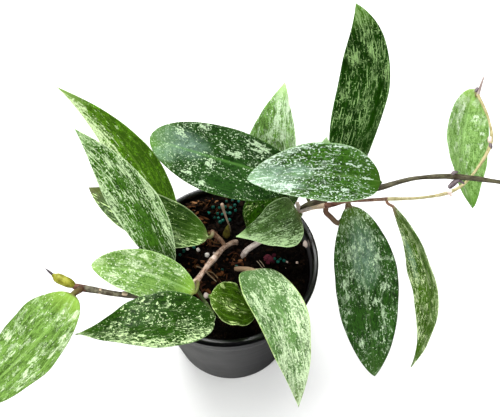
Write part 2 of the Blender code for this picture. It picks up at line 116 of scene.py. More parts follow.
# the surface that ends a tree, a Principled shader with these inputs
def endTree(tree, sockets):
    addNode(tree, "OutputMaterial", {"Surface": addNode(tree, "BsdfPrincipled", sockets)})


# meshes

# vectors at length one
def unit(v):
    return v / np.maximum(np.linalg.norm(v, axis=-1, keepdims=True), 1e-9)


# quads over a grid of rows x columns that closes round its columns, and a fan at each end row
def gridFaces(rows, cols):
    i = np.arange(rows - 1)[:, None] * cols
    j = np.arange(cols)[None]
    k = (j + 1) % cols
    quads = np.stack([i + j, i + k, i + cols + k, i + cols + j], axis=-1).reshape(-1, 4)
    ring = np.arange(cols)
    after = (ring + 1) % cols
    last = (rows - 1) * cols
    first = np.stack([after, ring, np.full(cols, rows * cols)], axis=-1)
    final = np.stack([last + ring, last + after, np.full(cols, rows * cols + 1)], axis=-1)
    return quads, np.vstack([first, final])


# six times the enclosed volume, positive where the faces point out
def signedVolume(points, quads, fans):
    total = 0.0
    for corners in (quads[:, [0, 1, 2]], quads[:, [0, 2, 3]], fans):
        a, b, c = (points[corners[:, n]] for n in range(3))
        total += np.einsum("ij,ij->", a, np.cross(b, c))
    return total


# a mesh object at the origin, from points in millimetres; fields are values at each point
def makePiece(name, points, quads, fans, material, fields=None, smooth=True):
    if signedVolume(points, quads, fans) < 0:
        quads, fans = quads[:, ::-1], fans[:, ::-1]
    corners = np.concatenate([quads.ravel(), fans.ravel()])
    starts = np.concatenate([np.arange(len(quads)) * 4, len(quads) * 4 + np.arange(len(fans)) * 3])
    mesh = bpy.data.meshes.new(name)
    mesh.vertices.add(len(points))
    mesh.vertices.foreach_set("co", (points * mm).astype(np.float32).ravel())
    mesh.loops.add(len(corners))
    mesh.loops.foreach_set("vertex_index", corners.astype(np.int32))
    mesh.polygons.add(len(starts))
    mesh.polygons.foreach_set("loop_start", starts.astype(np.int32))
    mesh.update(calc_edges=True)
    mesh.validate()
    mesh.polygons.foreach_set("use_smooth", np.full(len(mesh.polygons), smooth))
    for key, values in (fields or {}).items():
        if key == "blade":
            layer = mesh.uv_layers.new(name=key)
            layer.data.foreach_set("uv", values[corners].astype(np.float32).ravel())
            continue
        kind, slot = ("FLOAT", "value") if values.ndim == 1 else ("FLOAT_VECTOR", "vector")
        layer = mesh.attributes.new(key, kind, "POINT")
        layer.data.foreach_set(slot, values.astype(np.float32).ravel())
    mesh.materials.append(material)
    item = bpy.data.objects.new(name, mesh)
    bpy.context.scene.collection.objects.link(item)
    return item


# a closed skin over one grid of points, its end rows shut by a fan to their middle
def closedSkin(name, grid, material, fields=None):
    rows, cols = grid.shape[:2]
    quads, fans = gridFaces(rows, cols)

    # the values in one list, then the mean of the first row and of the last
    def withPoles(values):
        flat = values.reshape(rows * cols, -1)
        out = np.vstack([flat, values[0].reshape(cols, -1).mean(0), values[-1].reshape(cols, -1).mean(0)])
        return out[:, 0] if out.shape[1] == 1 else out

    held = {key: withPoles(values) for key, values in (fields or {}).items()}
    return makePiece(name, withPoles(grid), quads, fans, material, held)


# a piece rides on the plant's one body and stands for the nodes given, which are hidden
def finishPiece(item, slot, *nodes):
    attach(item, "root")
    if nodes:
        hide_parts(*nodes)
    return item


# leaves: hoya leaf, thick with a waxy skin; wet-looking greens under silvery splashes where air lies
# beneath the skin, paler veins, a thin margin, and a painted sheen: a soft silvery tint laid into the
# colour at listed places where the waxy skin shines, partly the silvery air cells themselves

leafForm = {
    "rings": 84,
    "across": 27,
    "firstRing": 0.02,  # the rings' shares of a quarter turn, whose squared sine is the share
    "lastRing": 0.995,  # of the length
    "stalkRings": 14,
    "stalkEnd": 0.97,
    "rootDepth": 8.0,  # how far below the top of the mix a stalk that grows from it starts
    "thick": 1.5,
    "edgeThick": 0.7,
    "tipThin": 0.4,  # share of the thickness that is lost towards the tip
    "foldPower": 1.3,
    "keel": 0.9,
    "keelWidth": 0.3,
    "shoulder": 0.12,  # part of the blade in which the stalk flattens out
    "ripple": 0.6,
    "rippleWaves": 2.5,
    "channel": 0.35,  # depth of the furrow over the midrib
    "channelWidth": 0.06,
    "pucker": 0.22,  # soft unevenness of the blade
    "puckerWaves": 7,
    "gap": 0.3,
    "placeFade": 0.6,
    "uvSpan": 100.0,  # millimetres of blade to one unit of its UV map
}

# what a leaf has unless it says otherwise; neck is how far before the blade the stalk turns in
# line with it, and midrib, where a leaf names it, is how strongly its midrib shows
leafUsual = dict(
    neck=3, stalk=1.0, stalkFade=0.15, stalkReach=0.05, twist=0,
    splashSize=1.0, threads=0.0, patches=-0.14, specks=0.02, wash=0.0, washed=0.25, patch=0.5, clump=0.2,
    streak=1.3, side=0.0, rim=0.0, toTip=0.0, veins=0.1, fibres=0.12, gloss=0.12, baseReach=0.2,
    # the first colour here is the tint of the painted sheen, a soft silvery blue that also stands for the
    # air cells beneath the skin
    cellAndSheenTint="#a4c8b4", underColour="#5f7a42", paleAt=[], paintedSheenAt=[], bareAt=[])

# each leaf: the stem and the point of it that it grows from, the bow of its stalk, the blade's base, crown
# and tip, its width, its turns in degrees and the powers of its outline, its shades, and how it is
# splashed; paleAt lists pale patches, the next list the places where a sheen is painted into the colour,
# and bareAt bare places, as nearPlaces reads them
leaves = {
    "leaf_far_left": dict(
        stem="leftShoot", at=2, bow=(-6, 2, -3), neck=5,
        base=(-34, 16, 96), crown=(-56, 57, 123), tip=(-94, 74, 167),
        width=29, roll=-38, twist=-8, fold=11, full=0.48, taper=1.15,
        slot="leaf_light", dark="#35560b", light="#6aa41e", fleck="#d8eeb4", ends=("#355f06", "#a0c46a"),
        margin="#a7c877", veinColour="#86a850", stalkColour="#8a7448",
        splash=-0.06, threads=-0.03, patches=-0.16, specks=-0.04, wash=-0.04, washed=0.2, clump=0.3,
        side=-0.13, rim=0.06, toTip=0.05, veins=0.25, fibres=0.03,
        paleAt=[(0.8, 0.55, 2, 1), (0.76, -0.1, 2, 1), (0.67, 0.5, 2, 1), (0.66, -0.4, 3, 1),
                (0.57, 0, 2, 1)],
        bareAt=[(0.5, 0.35, 18, 7), (0.3, 0.35, 12, 4)]),
    "leaf_splash_left": dict(
        stem="left", at=8, bow=(0, 6, 3), neck=4,
        base=(-31, -14, 111), crown=(-51, 15, 143), tip=(-79, 39, 172),
        width=30, roll=-43, fold=11, full=0.75, taper=1.17,
        slot="leaf_pale", dark="#193406", light="#42701a", fleck="#bdd6a4", ends=("#305014", "#7a9c60"),
        margin="#c8dfae", veinColour="#5f8a3c", stalkColour="#6f7a3c",
        splash=-0.14, splashSize=0.6, patches=-0.1, specks=0.03, wash=-0.03, washed=0.35, streak=1.2,
        rim=0.06, toTip=0.06, veins=0.2,
        paleAt=[(0.63, 0.55, 8, 3), (0.73, 0.2, 5, 2), (0.27, 0.65, 14, 3), (0.6, -0.8, 7, 2),
                (0.5, -0.8, 7, 2), (0.47, 0.8, 6, 3)],
        bareAt=[(0.6, -0.15, 4, 2), (0.36, 0, 7, 3), (0.22, -0.2, 6, 2)]),
    "leaf_under_left": dict(
        stem="leftShoot", at=2, bow=(-1, -2, 4),
        base=(-11, 8, 107), crown=(-46, 18, 114), tip=(-82, 41, 113),
        width=31, roll=-6, twist=-3, fold=12, full=0.65, taper=0.93,
        slot="leaf_mid", dark="#112c02", light="#2c4a08", fleck="#c1df96", ends=("#3a5c18", "#5c5c34"),
        margin="#b6d092", veinColour="#6f924a", stalkColour="#b09a7c",
        splash=-0.11, splashSize=0.9, threads=-0.03, patches=-0.16, specks=-0.02, patch=0.4, clump=0.4,
        streak=1.8, side=-0.04, rim=0.04, veins=0.3),
    "leaf_low_left": dict(
        stem="left", at=11, bow=(-1, -3, 3), neck=2, stalk=1.7, stalkFade=0.8, stalkReach=0.02,
        base=(-85, -29, 110), crown=(-109, -55, 97), tip=(-142, -75, 76),
        width=48, roll=15, fold=8, full=0.57, taper=0.66,
        slot="leaf_light", dark="#36501a", light="#6f9642", fleck="#d8e7c4", ends=("#86aa42", "#466c10"),
        margin="#55703a", veinColour="#a5cf70", stalkColour="#54382c",
        splash=-0.11, threads=-0.06, patches=-0.12, specks=-0.01, wash=0.03, washed=0.35, patch=0.6,
        clump=0.35, toTip=-0.02, veins=0.35,
        paleAt=[(0.57, 0.7, 5, 4), (0.64, 0.3, 5, 2), (0.3, 0.5, 6, 1), (0.1, -0.8, 4, 2),
                (0.27, -0.7, 3, 2), (0.5, -0.4, 6, 2), (0.57, -0.6, 5, 3), (0.37, -0.75, 4, 2),
                (0.65, -0.85, 4, 2)],
        bareAt=[(0.13, 0.3, 5, 4), (0.4, 0.2, 4, 3), (0.45, -0.8, 4, 3)]),
    "leaf_mid_left": dict(
        stem="left", at=6, bow=(0, -3, 4), neck=1.2, stalkFade=0.6,
        base=(-17, -34, 119), crown=(-44, -20, 116), tip=(-76, -12, 112),
        width=27, roll=-33, twist=5, fold=14, full=0.56, taper=0.66,
        slot="leaf_light", dark="#406622", light="#74984a", fleck="#ccdeb5", ends=("#7ba636", "#8fb460"),
        margin="#a9cf80", veinColour="#b4dc8c", stalkColour="#6a5a3c",
        splash=-0.18, threads=-0.09, patches=-0.12, wash=0.02, washed=0.3, patch=0.6, clump=0.3, rim=0.03,
        toTip=0.06, veins=0.35,
        paleAt=[(0.6, 0.35, 5, 3), (0.6, 0.75, 6, 2), (0.8, -0.5, 4, 2), (0.8, 0.05, 3, 2),
                (0.32, 0.7, 2, 1), (0.2, 0.5, 3, 1)],
        bareAt=[(0.45, -0.3, 6, 3), (0.15, -0.1, 3, 3)]),
    "leaf_dark_left": dict(
        stem="left", at=6, bow=(2, -3, -6),
        base=(-7, -47, 113), crown=(-50, -55, 121), tip=(-82, -52, 108),
        width=37, roll=17, twist=36, fold=16, full=0.58, taper=1.35,
        slot="leaf_dark", dark="#0d2201", light="#284e08", fleck="#cae4a8", ends=("#1c3a08", "#5f8232"),
        margin="#4c6a3c", veinColour="#3f6a1c", stalkColour="#2f2a18",
        splash=-0.02, splashSize=0.7, threads=-0.08, specks=0.01, washed=0.2, patch=0.75, streak=1.1,
        side=-0.04, rim=0.04, toTip=0.02,
        paleAt=[(0.54, -0.4, 3, 2), (0.42, -0.5, 5, 1), (0.44, -0.83, 7, 1), (0.36, -0.65, 3, 1),
                (0.3, -0.75, 3, 2), (0.2, -0.9, 4, 1), (0.42, 0.7, 2, 1), (0.23, 0.6, 3, 1),
                (0.5, 0.3, 3, 1), (0.4, 0.25, 2, 1)],
        bareAt=[(0.7, 0.9, 9, 2), (0.28, -0.35, 4, 2), (0.17, 0.7, 4, 2)]),
    "leaf_small_round": dict(
        stem=None, root=(-4, -21), bow=(0, 0, 8),
        base=(-9, -30, 105), crown=(5, -33, 97), tip=(15, -33, 91),
        width=32, roll=-18, twist=-4, fold=8, full=0.52, taper=0.8,
        slot="leaf_mid", dark="#182a04", light="#385808", fleck="#cee796", ends=("#4c6e1c", "#2a4a08"),
        margin="#bcd68a", veinColour="#6f9440", stalkColour="#5d7a2c",
        splash=-0.04, splashSize=0.8, threads=-0.07, patches=-0.16, specks=0.0, wash=-0.02, washed=0.2,
        clump=0.4, streak=1.2, rim=0.08, toTip=-0.1, veins=0.5,
        paleAt=[(0.16, -0.75, 2, 2), (0.32, 0.25, 2, 2), (0.65, 0.25, 3, 1)]),
    "leaf_bright_front": dict(
        stem=None, root=(5, 1), bow=(2.5, -3, 5), stalk=1.5, stalkFade=0.8, stalkReach=0.015,
        base=(15, -15, 106), crown=(32, -57, 112), tip=(38, -86, 80),
        width=33, roll=-20, twist=-5, fold=11, full=0.42, taper=1.05,
        slot="leaf_pale", dark="#344e26", light="#62884a", fleck="#c6dcb0", ends=("#4a6a38", "#6f8044"),
        margin="#c2de84", veinColour="#93b874", stalkColour="#a88a70",
        splash=-0.14, splashSize=0.6, threads=-0.02, patches=-0.1, specks=0.04, wash=0.03, washed=0.45,
        patch=0.75, side=-0.03, rim=0.02, toTip=0.1, veins=0.15, baseReach=0.4,
        paleAt=[(0.24, 0.6, 7, 2), (0.3, 0.2, 8, 1), (0.42, -0.5, 8, 2), (0.57, 0.35, 9, 2),
                (0.2, -0.9, 4, 2), (0.2, -0.4, 5, 1), (0.35, -0.95, 6, 1), (0.64, 0.65, 4, 2),
                (0.76, 0, 6, 1)],
        bareAt=[(0.26, -0.3, 4, 3), (0.56, -0.2, 6, 3)]),
    "leaf_small_centre": dict(
        stem="right", at=5, bow=(0, -6, 2),
        base=(42, 10, 125), crown=(25, 5, 119), tip=(6, 1, 118),
        width=39, roll=21, twist=28, fold=2, full=0.38, taper=1.0,
        slot="leaf_mid", dark="#1b2c0a", light="#42602a", fleck="#9cb886", ends=("#3c4c2a", "#b0d48c"),
        margin="#a8c58e", veinColour="#5f7c48", stalkColour="#7c6c48",
        splash=-0.11, splashSize=0.7, threads=-0.03, specks=0.03, patch=0.6, clump=0.3, streak=1.2,
        side=-0.05, rim=0.04, toTip=0.08,
        paleAt=[(0.54, 0.75, 6, 1), (0.45, -0.55, 2, 2), (0.34, -0.7, 3, 2), (0.16, -0.75, 2, 2)],
        bareAt=[(0.57, 0, 4, 3)]),
    "leaf_big_top": dict(
        stem="dark", at=2, bow=(0, 6, 1), neck=4,
        base=(43, 33, 123), crown=(6, 37, 139), tip=(-44, 62, 132),
        width=41, roll=-49, twist=2, fold=12, full=0.72, taper=0.58,
        slot="leaf_dark", dark="#0c2806", light="#285016", fleck="#d0ecc0", ends=("#142a06", "#6fa048"),
        margin="#47682e", veinColour="#5f9440", stalkColour="#6f5a3c",
        splash=-0.06, splashSize=0.55, threads=-0.12, patches=-0.16, wash=-0.03, washed=0.2, patch=0.75,
        streak=1.0, toTip=0.03, veins=0.12, midrib=0.5, gloss=0.35,
        paleAt=[(0.82, 0.6, 4, 3), (0.7, 0.9, 4, 2), (0.4, 0.75, 7, 4), (0.5, 0.3, 6, 3),
                (0.65, -0.2, 4, 3), (0.77, -0.7, 5, 2), (0.64, -0.8, 3, 2), (0.57, 0.4, 4, 2),
                (0.62, -0.4, 3, 1)],
        paintedSheenAt=[(0.83, 0.2, 17, 8), (0.9, -0.5, 8, 4)],
        bareAt=[(0.5, -0.7, 5, 4), (0.6, -0.6, 4, 3), (0.5, 0, 7, 3)]),
    "leaf_shadow": dict(
        stem="right", at=6, bow=(0, 5, 0),
        base=(44, 34, 114), crown=(22, 24, 107), tip=(12, 21, 93),
        width=26, roll=-12, fold=10, full=0.8, taper=0.88,
        slot="leaf_dark", dark="#030602", light="#264c02", fleck="#94ac6b", ends=("#2c4410", "#344f18"),
        margin="#3d6a30", veinColour="#34541c", stalkColour="#4a4028",
        splash=-0.05, splashSize=0.9, threads=-0.09, patches=-0.16, specks=0.0, wash=-0.02, washed=0.15,
        patch=0.3, clump=0.4, streak=1.2),
    "leaf_speckled_top": dict(
        stem="dark", at=4, bow=(0, 0, 3), neck=2,
        base=(88, 25, 134), crown=(53, 23, 146), tip=(13, 20, 147),
        width=36, roll=-15, twist=5, fold=15, full=0.58, taper=0.75,
        slot="leaf_mid", dark="#152c04", light="#386612", fleck="#c4d8c6", ends=("#30560a", "#6f9460"),
        margin="#a9cd98", veinColour="#84ac5c", stalkColour="#4a3c2a",
        splash=-0.17, splashSize=0.55, threads=-0.06, specks=0.03, wash=-0.04, patch=0.8, streak=0.9,
        rim=0.04, toTip=0.08, veins=0.2, gloss=0.45, baseReach=0.3,
        paleAt=[(0.12, 0, 4, 1), (0.2, 0.4, 4, 1), (0.33, -0.55, 3, 1), (0.75, -0.55, 5, 2),
                (0.87, 0.9, 4, 1), (0.37, 0.9, 7, 1)],
        paintedSheenAt=[(0.85, 0, 14, 6), (0.68, 0.1, 10, 4), (0.78, -0.6, 12, 3)],
        bareAt=[(0.04, 0, 5, 8), (0.3, 0.7, 3, 3)]),
    "leaf_tall_back": dict(
        stem="right", at=7, bow=(1, 6, 1), neck=4,
        base=(67, 30, 117), crown=(86, 83, 152), tip=(78, 115, 185),
        width=41, roll=-39, fold=18, full=0.55, taper=0.98,
        slot="leaf_dark", dark="#061c00", light="#143800", fleck="#84a466", ends=("#1c3802", "#5c8a30"),
        margin="#3f6a2c", veinColour="#46682a", stalkColour="#6f5a3c",
        splash=-0.08, splashSize=0.6, washed=0.4, patch=0.55, streak=1.8, toTip=0.04, veins=0.12,
        paleAt=[(0.67, -0.5, 5, 2), (0.76, -0.15, 4, 1), (0.68, 0.15, 3, 2), (0.65, 0.8, 4, 1),
                (0.56, 0.7, 4, 2), (0.53, 0.35, 3, 2), (0.41, 0, 4, 2), (0.42, -0.75, 4, 2),
                (0.54, -0.55, 3, 1), (0.93, -0.45, 6, 2), (0.3, -0.45, 4, 1)],
        bareAt=[(0.44, 0.55, 8, 2), (0.33, 0.45, 7, 3), (0.62, -0.9, 4, 2)]),
    "leaf_pale_back": dict(
        stem="right", at=4, bow=(2, 12, 4), neck=2,
        base=(34, 46, 101), crown=(33, 61, 129), tip=(37, 87, 151),
        width=45, roll=-45, twist=14, fold=17, full=0.58, taper=1.06,
        slot="leaf_pale", dark="#405c28", light="#7cac52", fleck="#d0e7c2", ends=("#4c7a24", "#c0e49c"),
        margin="#a4c98c", veinColour="#90b474", stalkColour="#5f5438",
        splash=-0.13, splashSize=1.1, threads=-0.02, patches=-0.1, wash=0.03, washed=0.45, patch=0.7,
        clump=0.3, side=0.03, toTip=0.05, veins=0.15,
        paleAt=[(0.7, -0.1, 10, 3), (0.54, 0.2, 5, 3), (0.5, -0.35, 4, 3), (0.78, 0.75, 9, 2)],
        bareAt=[(0.64, -0.7, 4, 3), (0.8, -0.9, 4, 2)]),
    "leaf_hidden_back": dict(
        stem="dark", at=3, bow=(-1, 5, 0),
        base=(62, 32, 122), crown=(60, 43, 127), tip=(60, 56, 137),
        width=18, roll=-20, fold=14, full=0.6, taper=0.9,
        slot="leaf_pale", dark="#5c8244", light="#84a868", fleck="#d0e8c0", ends=("#5c8a3c", "#b0d098"),
        margin="#b4cfa0", veinColour="#90b474", stalkColour="#5f5438",
        splash=0.0, patches=0.0, specks=0.0, clump=0.4),
    "leaf_far_right": dict(
        stem="right", at=15, bow=(0, 2, -4), neck=2,
        base=(157, 100, 124), crown=(147, 66, 110), tip=(151, 32, 93),
        width=35, roll=-31, twist=-8, fold=16, full=0.66, taper=0.69,
        slot="leaf_light", dark="#4a6e28", light="#90b86a", fleck="#deecd2", ends=("#94bc5c", "#44780c"),
        margin="#9fcd88", veinColour="#a4cc80", stalkColour="#7c6a4c",
        splash=-0.09, splashSize=1.4, threads=-0.08, patches=-0.1, specks=-0.05, wash=0.06, washed=0.35,
        patch=0.6, clump=0.4, streak=1.1, side=0.04, toTip=-0.1, veins=0.35,
        paleAt=[(0.18, 0.35, 4, 2), (0.22, -0.45, 3, 2), (0.35, -0.7, 3, 2), (0.46, -0.75, 3, 2),
                (0.36, 0.35, 3, 1), (0.65, -0.1, 3, 1), (0.54, 0.6, 3, 1)],
        bareAt=[(0.86, -0.2, 7, 4), (0.43, 0.5, 4, 2), (0.64, -0.6, 4, 3)]),
    "leaf_hang_dark": dict(
        stem="right", at=7, bow=(0, -1, -4), stalk=1.6, stalkFade=0.8, stalkReach=0.02,
        via=[(62, 21.5, 104), (67.5, 22.5, 95), (73, 31, 90.5), (75, 38, 92.5)],
        base=(75, 34, 95), crown=(84, -5, 64), tip=(91, -46, 19),
        width=45, roll=-14, twist=24, fold=10, full=0.62, taper=0.79,
        # the second of ends, the tip's shade, is darker: painted shade where the hanging tip turns away
        # from the light
        slot="leaf_dark", dark="#10260a", light="#2f5c16", fleck="#c8e2ba", ends=("#4c701c", "#34561a"),
        margin="#1c3a10", veinColour="#54743c", stalkColour="#64483a",
        splash=0.02, splashSize=0.7, threads=-0.06, patches=-0.12, specks=0.01, wash=0.05, washed=0.35,
        patch=0.6, streak=1.2, rim=-0.03, toTip=-0.05, veins=0.12, midrib=0.35, gloss=0.35,
        paleAt=[(0.3, 0.45, 5, 3), (0.25, 0.3, 3, 2), (0.44, 0.65, 4, 3), (0.52, 0.65, 2, 3),
                (0.52, -0.6, 3, 3), (0.68, -0.5, 10, 2), (0.36, -0.55, 4, 2), (0.6, -0.2, 3, 3),
                (0.41, 0.4, 4, 2), (0.7, 0.95, 5, 1), (0.8, 0.5, 5, 2), (0.8, -0.3, 5, 1)],
        paintedSheenAt=[(0.3, -0.1, 20, 9)],
        bareAt=[(0.67, 0.4, 9, 4), (0.6, -0.6, 4, 2), (0.7, -0.15, 6, 2)]),
    "leaf_hang_narrow": dict(
        stem="right", at=9, bow=(2, 0, -4), neck=1, stalk=0.9, stalkFade=0.9,
        base=(101, 30, 100), crown=(118, -20, 86), tip=(110, -50, 43),
        width=34, roll=78, twist=-38, fold=12, full=0.68, taper=1.0,
        slot="leaf_mid", dark="#1d3602", light="#4a7212", fleck="#d6e8b0", ends=("#4c6428", "#3c6010"),
        margin="#a8c888", veinColour="#7c9c54", stalkColour="#a07a66",
        splash=0.0, splashSize=0.5, washed=0.2, clump=0.35, streak=1.6, rim=0.05, toTip=-0.03, veins=0.3,
        paintedSheenAt=[(0.26, 0.6, 18, 3)]),
}
for name, own in leaves.items():
    leaves[name] = leafUsual | own


# midrib: a quadratic curve from base to tip whose middle point is the crown
def midrib(spec, s):
    base, crown, tip = (np.array(spec[key], float) for key in ("base", "crown", "tip"))
    pull = 2 * crown - (base + tip) / 2
    s = s[:, None]
    point = (1 - s) ** 2 * base + 2 * s * (1 - s) * pull + s ** 2 * tip
    heading = unit((1 - s) * (pull - base) + s * (tip - pull))
    return point, heading


# the way the blade faces: upwards, turned about the midrib by roll, and by twist from end to end
def facing(spec, s, heading):
    up = np.array([0.0, 0.0, 1.0])
    level = unit(up - (heading @ up)[:, None] * heading)
    angle = np.radians(spec["roll"] + spec["twist"] * (s - 0.5))[:, None]
    return level * np.cos(angle) + np.cross(heading, level) * np.sin(angle)


# half the blade's width: s to the power full times 1 - s to the power taper, scaled to its peak
def halfWidth(spec, s):
    full, taper = spec["full"], spec["taper"]
    peak = full / (full + taper)
    shape = s ** full * (1 - s) ** taper / (peak ** full * (1 - peak) ** taper)
    return shape * spec["width"] / 2


# a smooth curve through points (x, y, z, radius): each stretch is a cubic whose slope at a point is
# half the step between its neighbours; the radius eases from point to point
def smoothRoute(points, span):
    p = np.array(points, float)
    ends = np.vstack([2 * p[0] - p[1], p, 2 * p[-1] - p[-2]])
    rows = []
    for i in range(1, len(ends) - 2):
        a, b, c, d = ends[i - 1:i + 3]
        count = max(2, round(np.linalg.norm((c - b)[:3]) / span))
        t = (np.arange(count) / count)[:, None]
        bend = (2 * b + (c - a) * t + (2 * a - 5 * b + 4 * c - d) * t ** 2
                + (3 * b - a - 3 * c + d) * t ** 3) / 2
        bend[:, 3] = b[3] + (c[3] - b[3]) * (t * t * (3 - 2 * t))[:, 0]
        rows.append(bend)
    rows.append(p[-1:])
    return np.vstack(rows)


# stems, as points (x, y, z, radius); a leaf sits on a swollen point
stems = {
    "left": [
        (6.0, 19.5, mixTop - 14, 1.6), (6.0, 19.5, mixTop - 5, 1.6), (5.0, 18.0, 83, 1.6),
        (-1.0, 10.5, 91, 1.5), (-8.0, -2.0, 98, 1.9), (-13.5, -13.0, 103, 1.5),
        (-18.0, -22.0, 107, 1.9), (-24.0, -26.0, 108, 1.4), (-32.0, -27.5, 107, 1.8),
        (-48.0, -29.0, 106, 1.5), (-65.0, -26.5, 106, 1.6), (-81.0, -22.8, 106, 2.0),
        (-84.8, -21.9, 106, 1.5),
    ],
    "leftShoot": [(-1.0, 10.5, 91, 1.1), (-4.0, 13.0, 95, 1.3), (-8.5, 16.0, 99, 1.5)],
    "right": [
        (9.0, 10.0, mixTop - 14, 1.8), (9.0, 10.0, mixTop - 5, 1.8), (10.5, 10.5, 83, 1.8),
        (17.5, 12.5, 90, 1.7), (29.0, 15.5, 98, 1.9), (42.0, 21.0, 112, 2.0),
        (50.0, 22.5, 113, 1.6), (59.0, 23.7, 113, 1.6), (73.0, 26.0, 113, 0.9),
        (95.5, 27.8, 112, 1.4), (115.0, 28.0, 112, 1.0), (133.0, 31.5, 112, 1.4),
        (146.0, 40.0, 114, 1.0), (161.0, 60.5, 118, 1.4), (162.0, 76.5, 123, 0.9),
        (157.0, 92.5, 128, 1.3), (159.0, 97.5, 130.5, 0.7), (161.0, 102.0, 133, 0.4),
    ],
    "dark": [
        (40.5, 20.5, 111, 1.2), (46.0, 22.0, 115.5, 1.3), (53.0, 22.5, 119, 1.7),
        (69.0, 24.0, 124, 1.6), (87.0, 25.3, 127, 1.7), (109.0, 29.5, 130, 1.2),
        (132.5, 30.0, 130, 1.7), (159.0, 28.2, 126, 1.2), (171.0, 27.6, 124, 0.8),
        (178.0, 27.4, 123.5, 0.35),
    ],
}


# the foot of a stalk, on the stem's skin, and its way out, square to the stem: the bow without
# its part along the stem, and as long as the bow
def footOn(route, at, bow):
    here = np.array(route[at][:3])
    before = np.array(route[max(at - 1, 0)][:3])
    after = np.array(route[min(at + 1, len(route) - 1)][:3])
    along = unit(after - before)
    bow = np.array(bow, float)
    out = unit(bow - (bow @ along) * along)
    return here + out * (route[at][3] - leafForm["gap"]), out * np.linalg.norm(bow)


# the stalk's centre line: a cubic curve from its foot to the blade, or a smooth route through
# the points that it names; one that grows from the mix starts below the surface
def stalkLine(spec, base, heading):
    if spec["stem"] is None:
        foot = np.array([*spec["root"], mixTop], float)
        start = np.array(spec["bow"], float)
    else:
        foot, start = footOn(stems[spec["stem"]], spec["at"], spec["bow"])
    inner = base - heading * spec["neck"]
    if "via" in spec:
        stops = [foot, foot + start, *spec["via"], inner, base]
        point = smoothRoute([(*stop, 0) for stop in stops], 1.0)[:-1, :3]
        return point, unit(np.gradient(point, axis=0))
    t = np.linspace(0, leafForm["stalkEnd"], leafForm["stalkRings"])[:, None]
    point = ((1 - t) ** 3 * foot + 3 * t * (1 - t) ** 2 * (foot + start)
             + 3 * t ** 2 * (1 - t) * inner + t ** 3 * base)
    way = unit((1 - t) ** 2 * start + 2 * t * (1 - t) * (inner - foot - start) + t ** 2 * (base - inner))
    if spec["stem"] is None:
        point = np.vstack([foot - (0, 0, leafForm["rootDepth"]), point])
        way = np.vstack([way[:1], way])
    return point, way


# how near each point of the blade is to the places in a list (share of the length, share of the
# half width, half length, half width in mm): 1 less placeFade times the squared distance from
# the nearest, counted in its half length and half width
def nearPlaces(places, along, across, reach, aside):
    near = np.zeros_like(along)
    for s, v, long, wide in places:
        here = np.argmin(np.abs(along[:, 0] - s))
        middle = np.interp(v, across[here, :leafForm["across"]], aside[here, :leafForm["across"]])
        away = ((reach - reach[here, 0]) / long) ** 2 + ((aside - middle) / wide) ** 2
        near = np.maximum(near, np.clip(1 - away * leafForm["placeFade"], 0, 1))
    return near


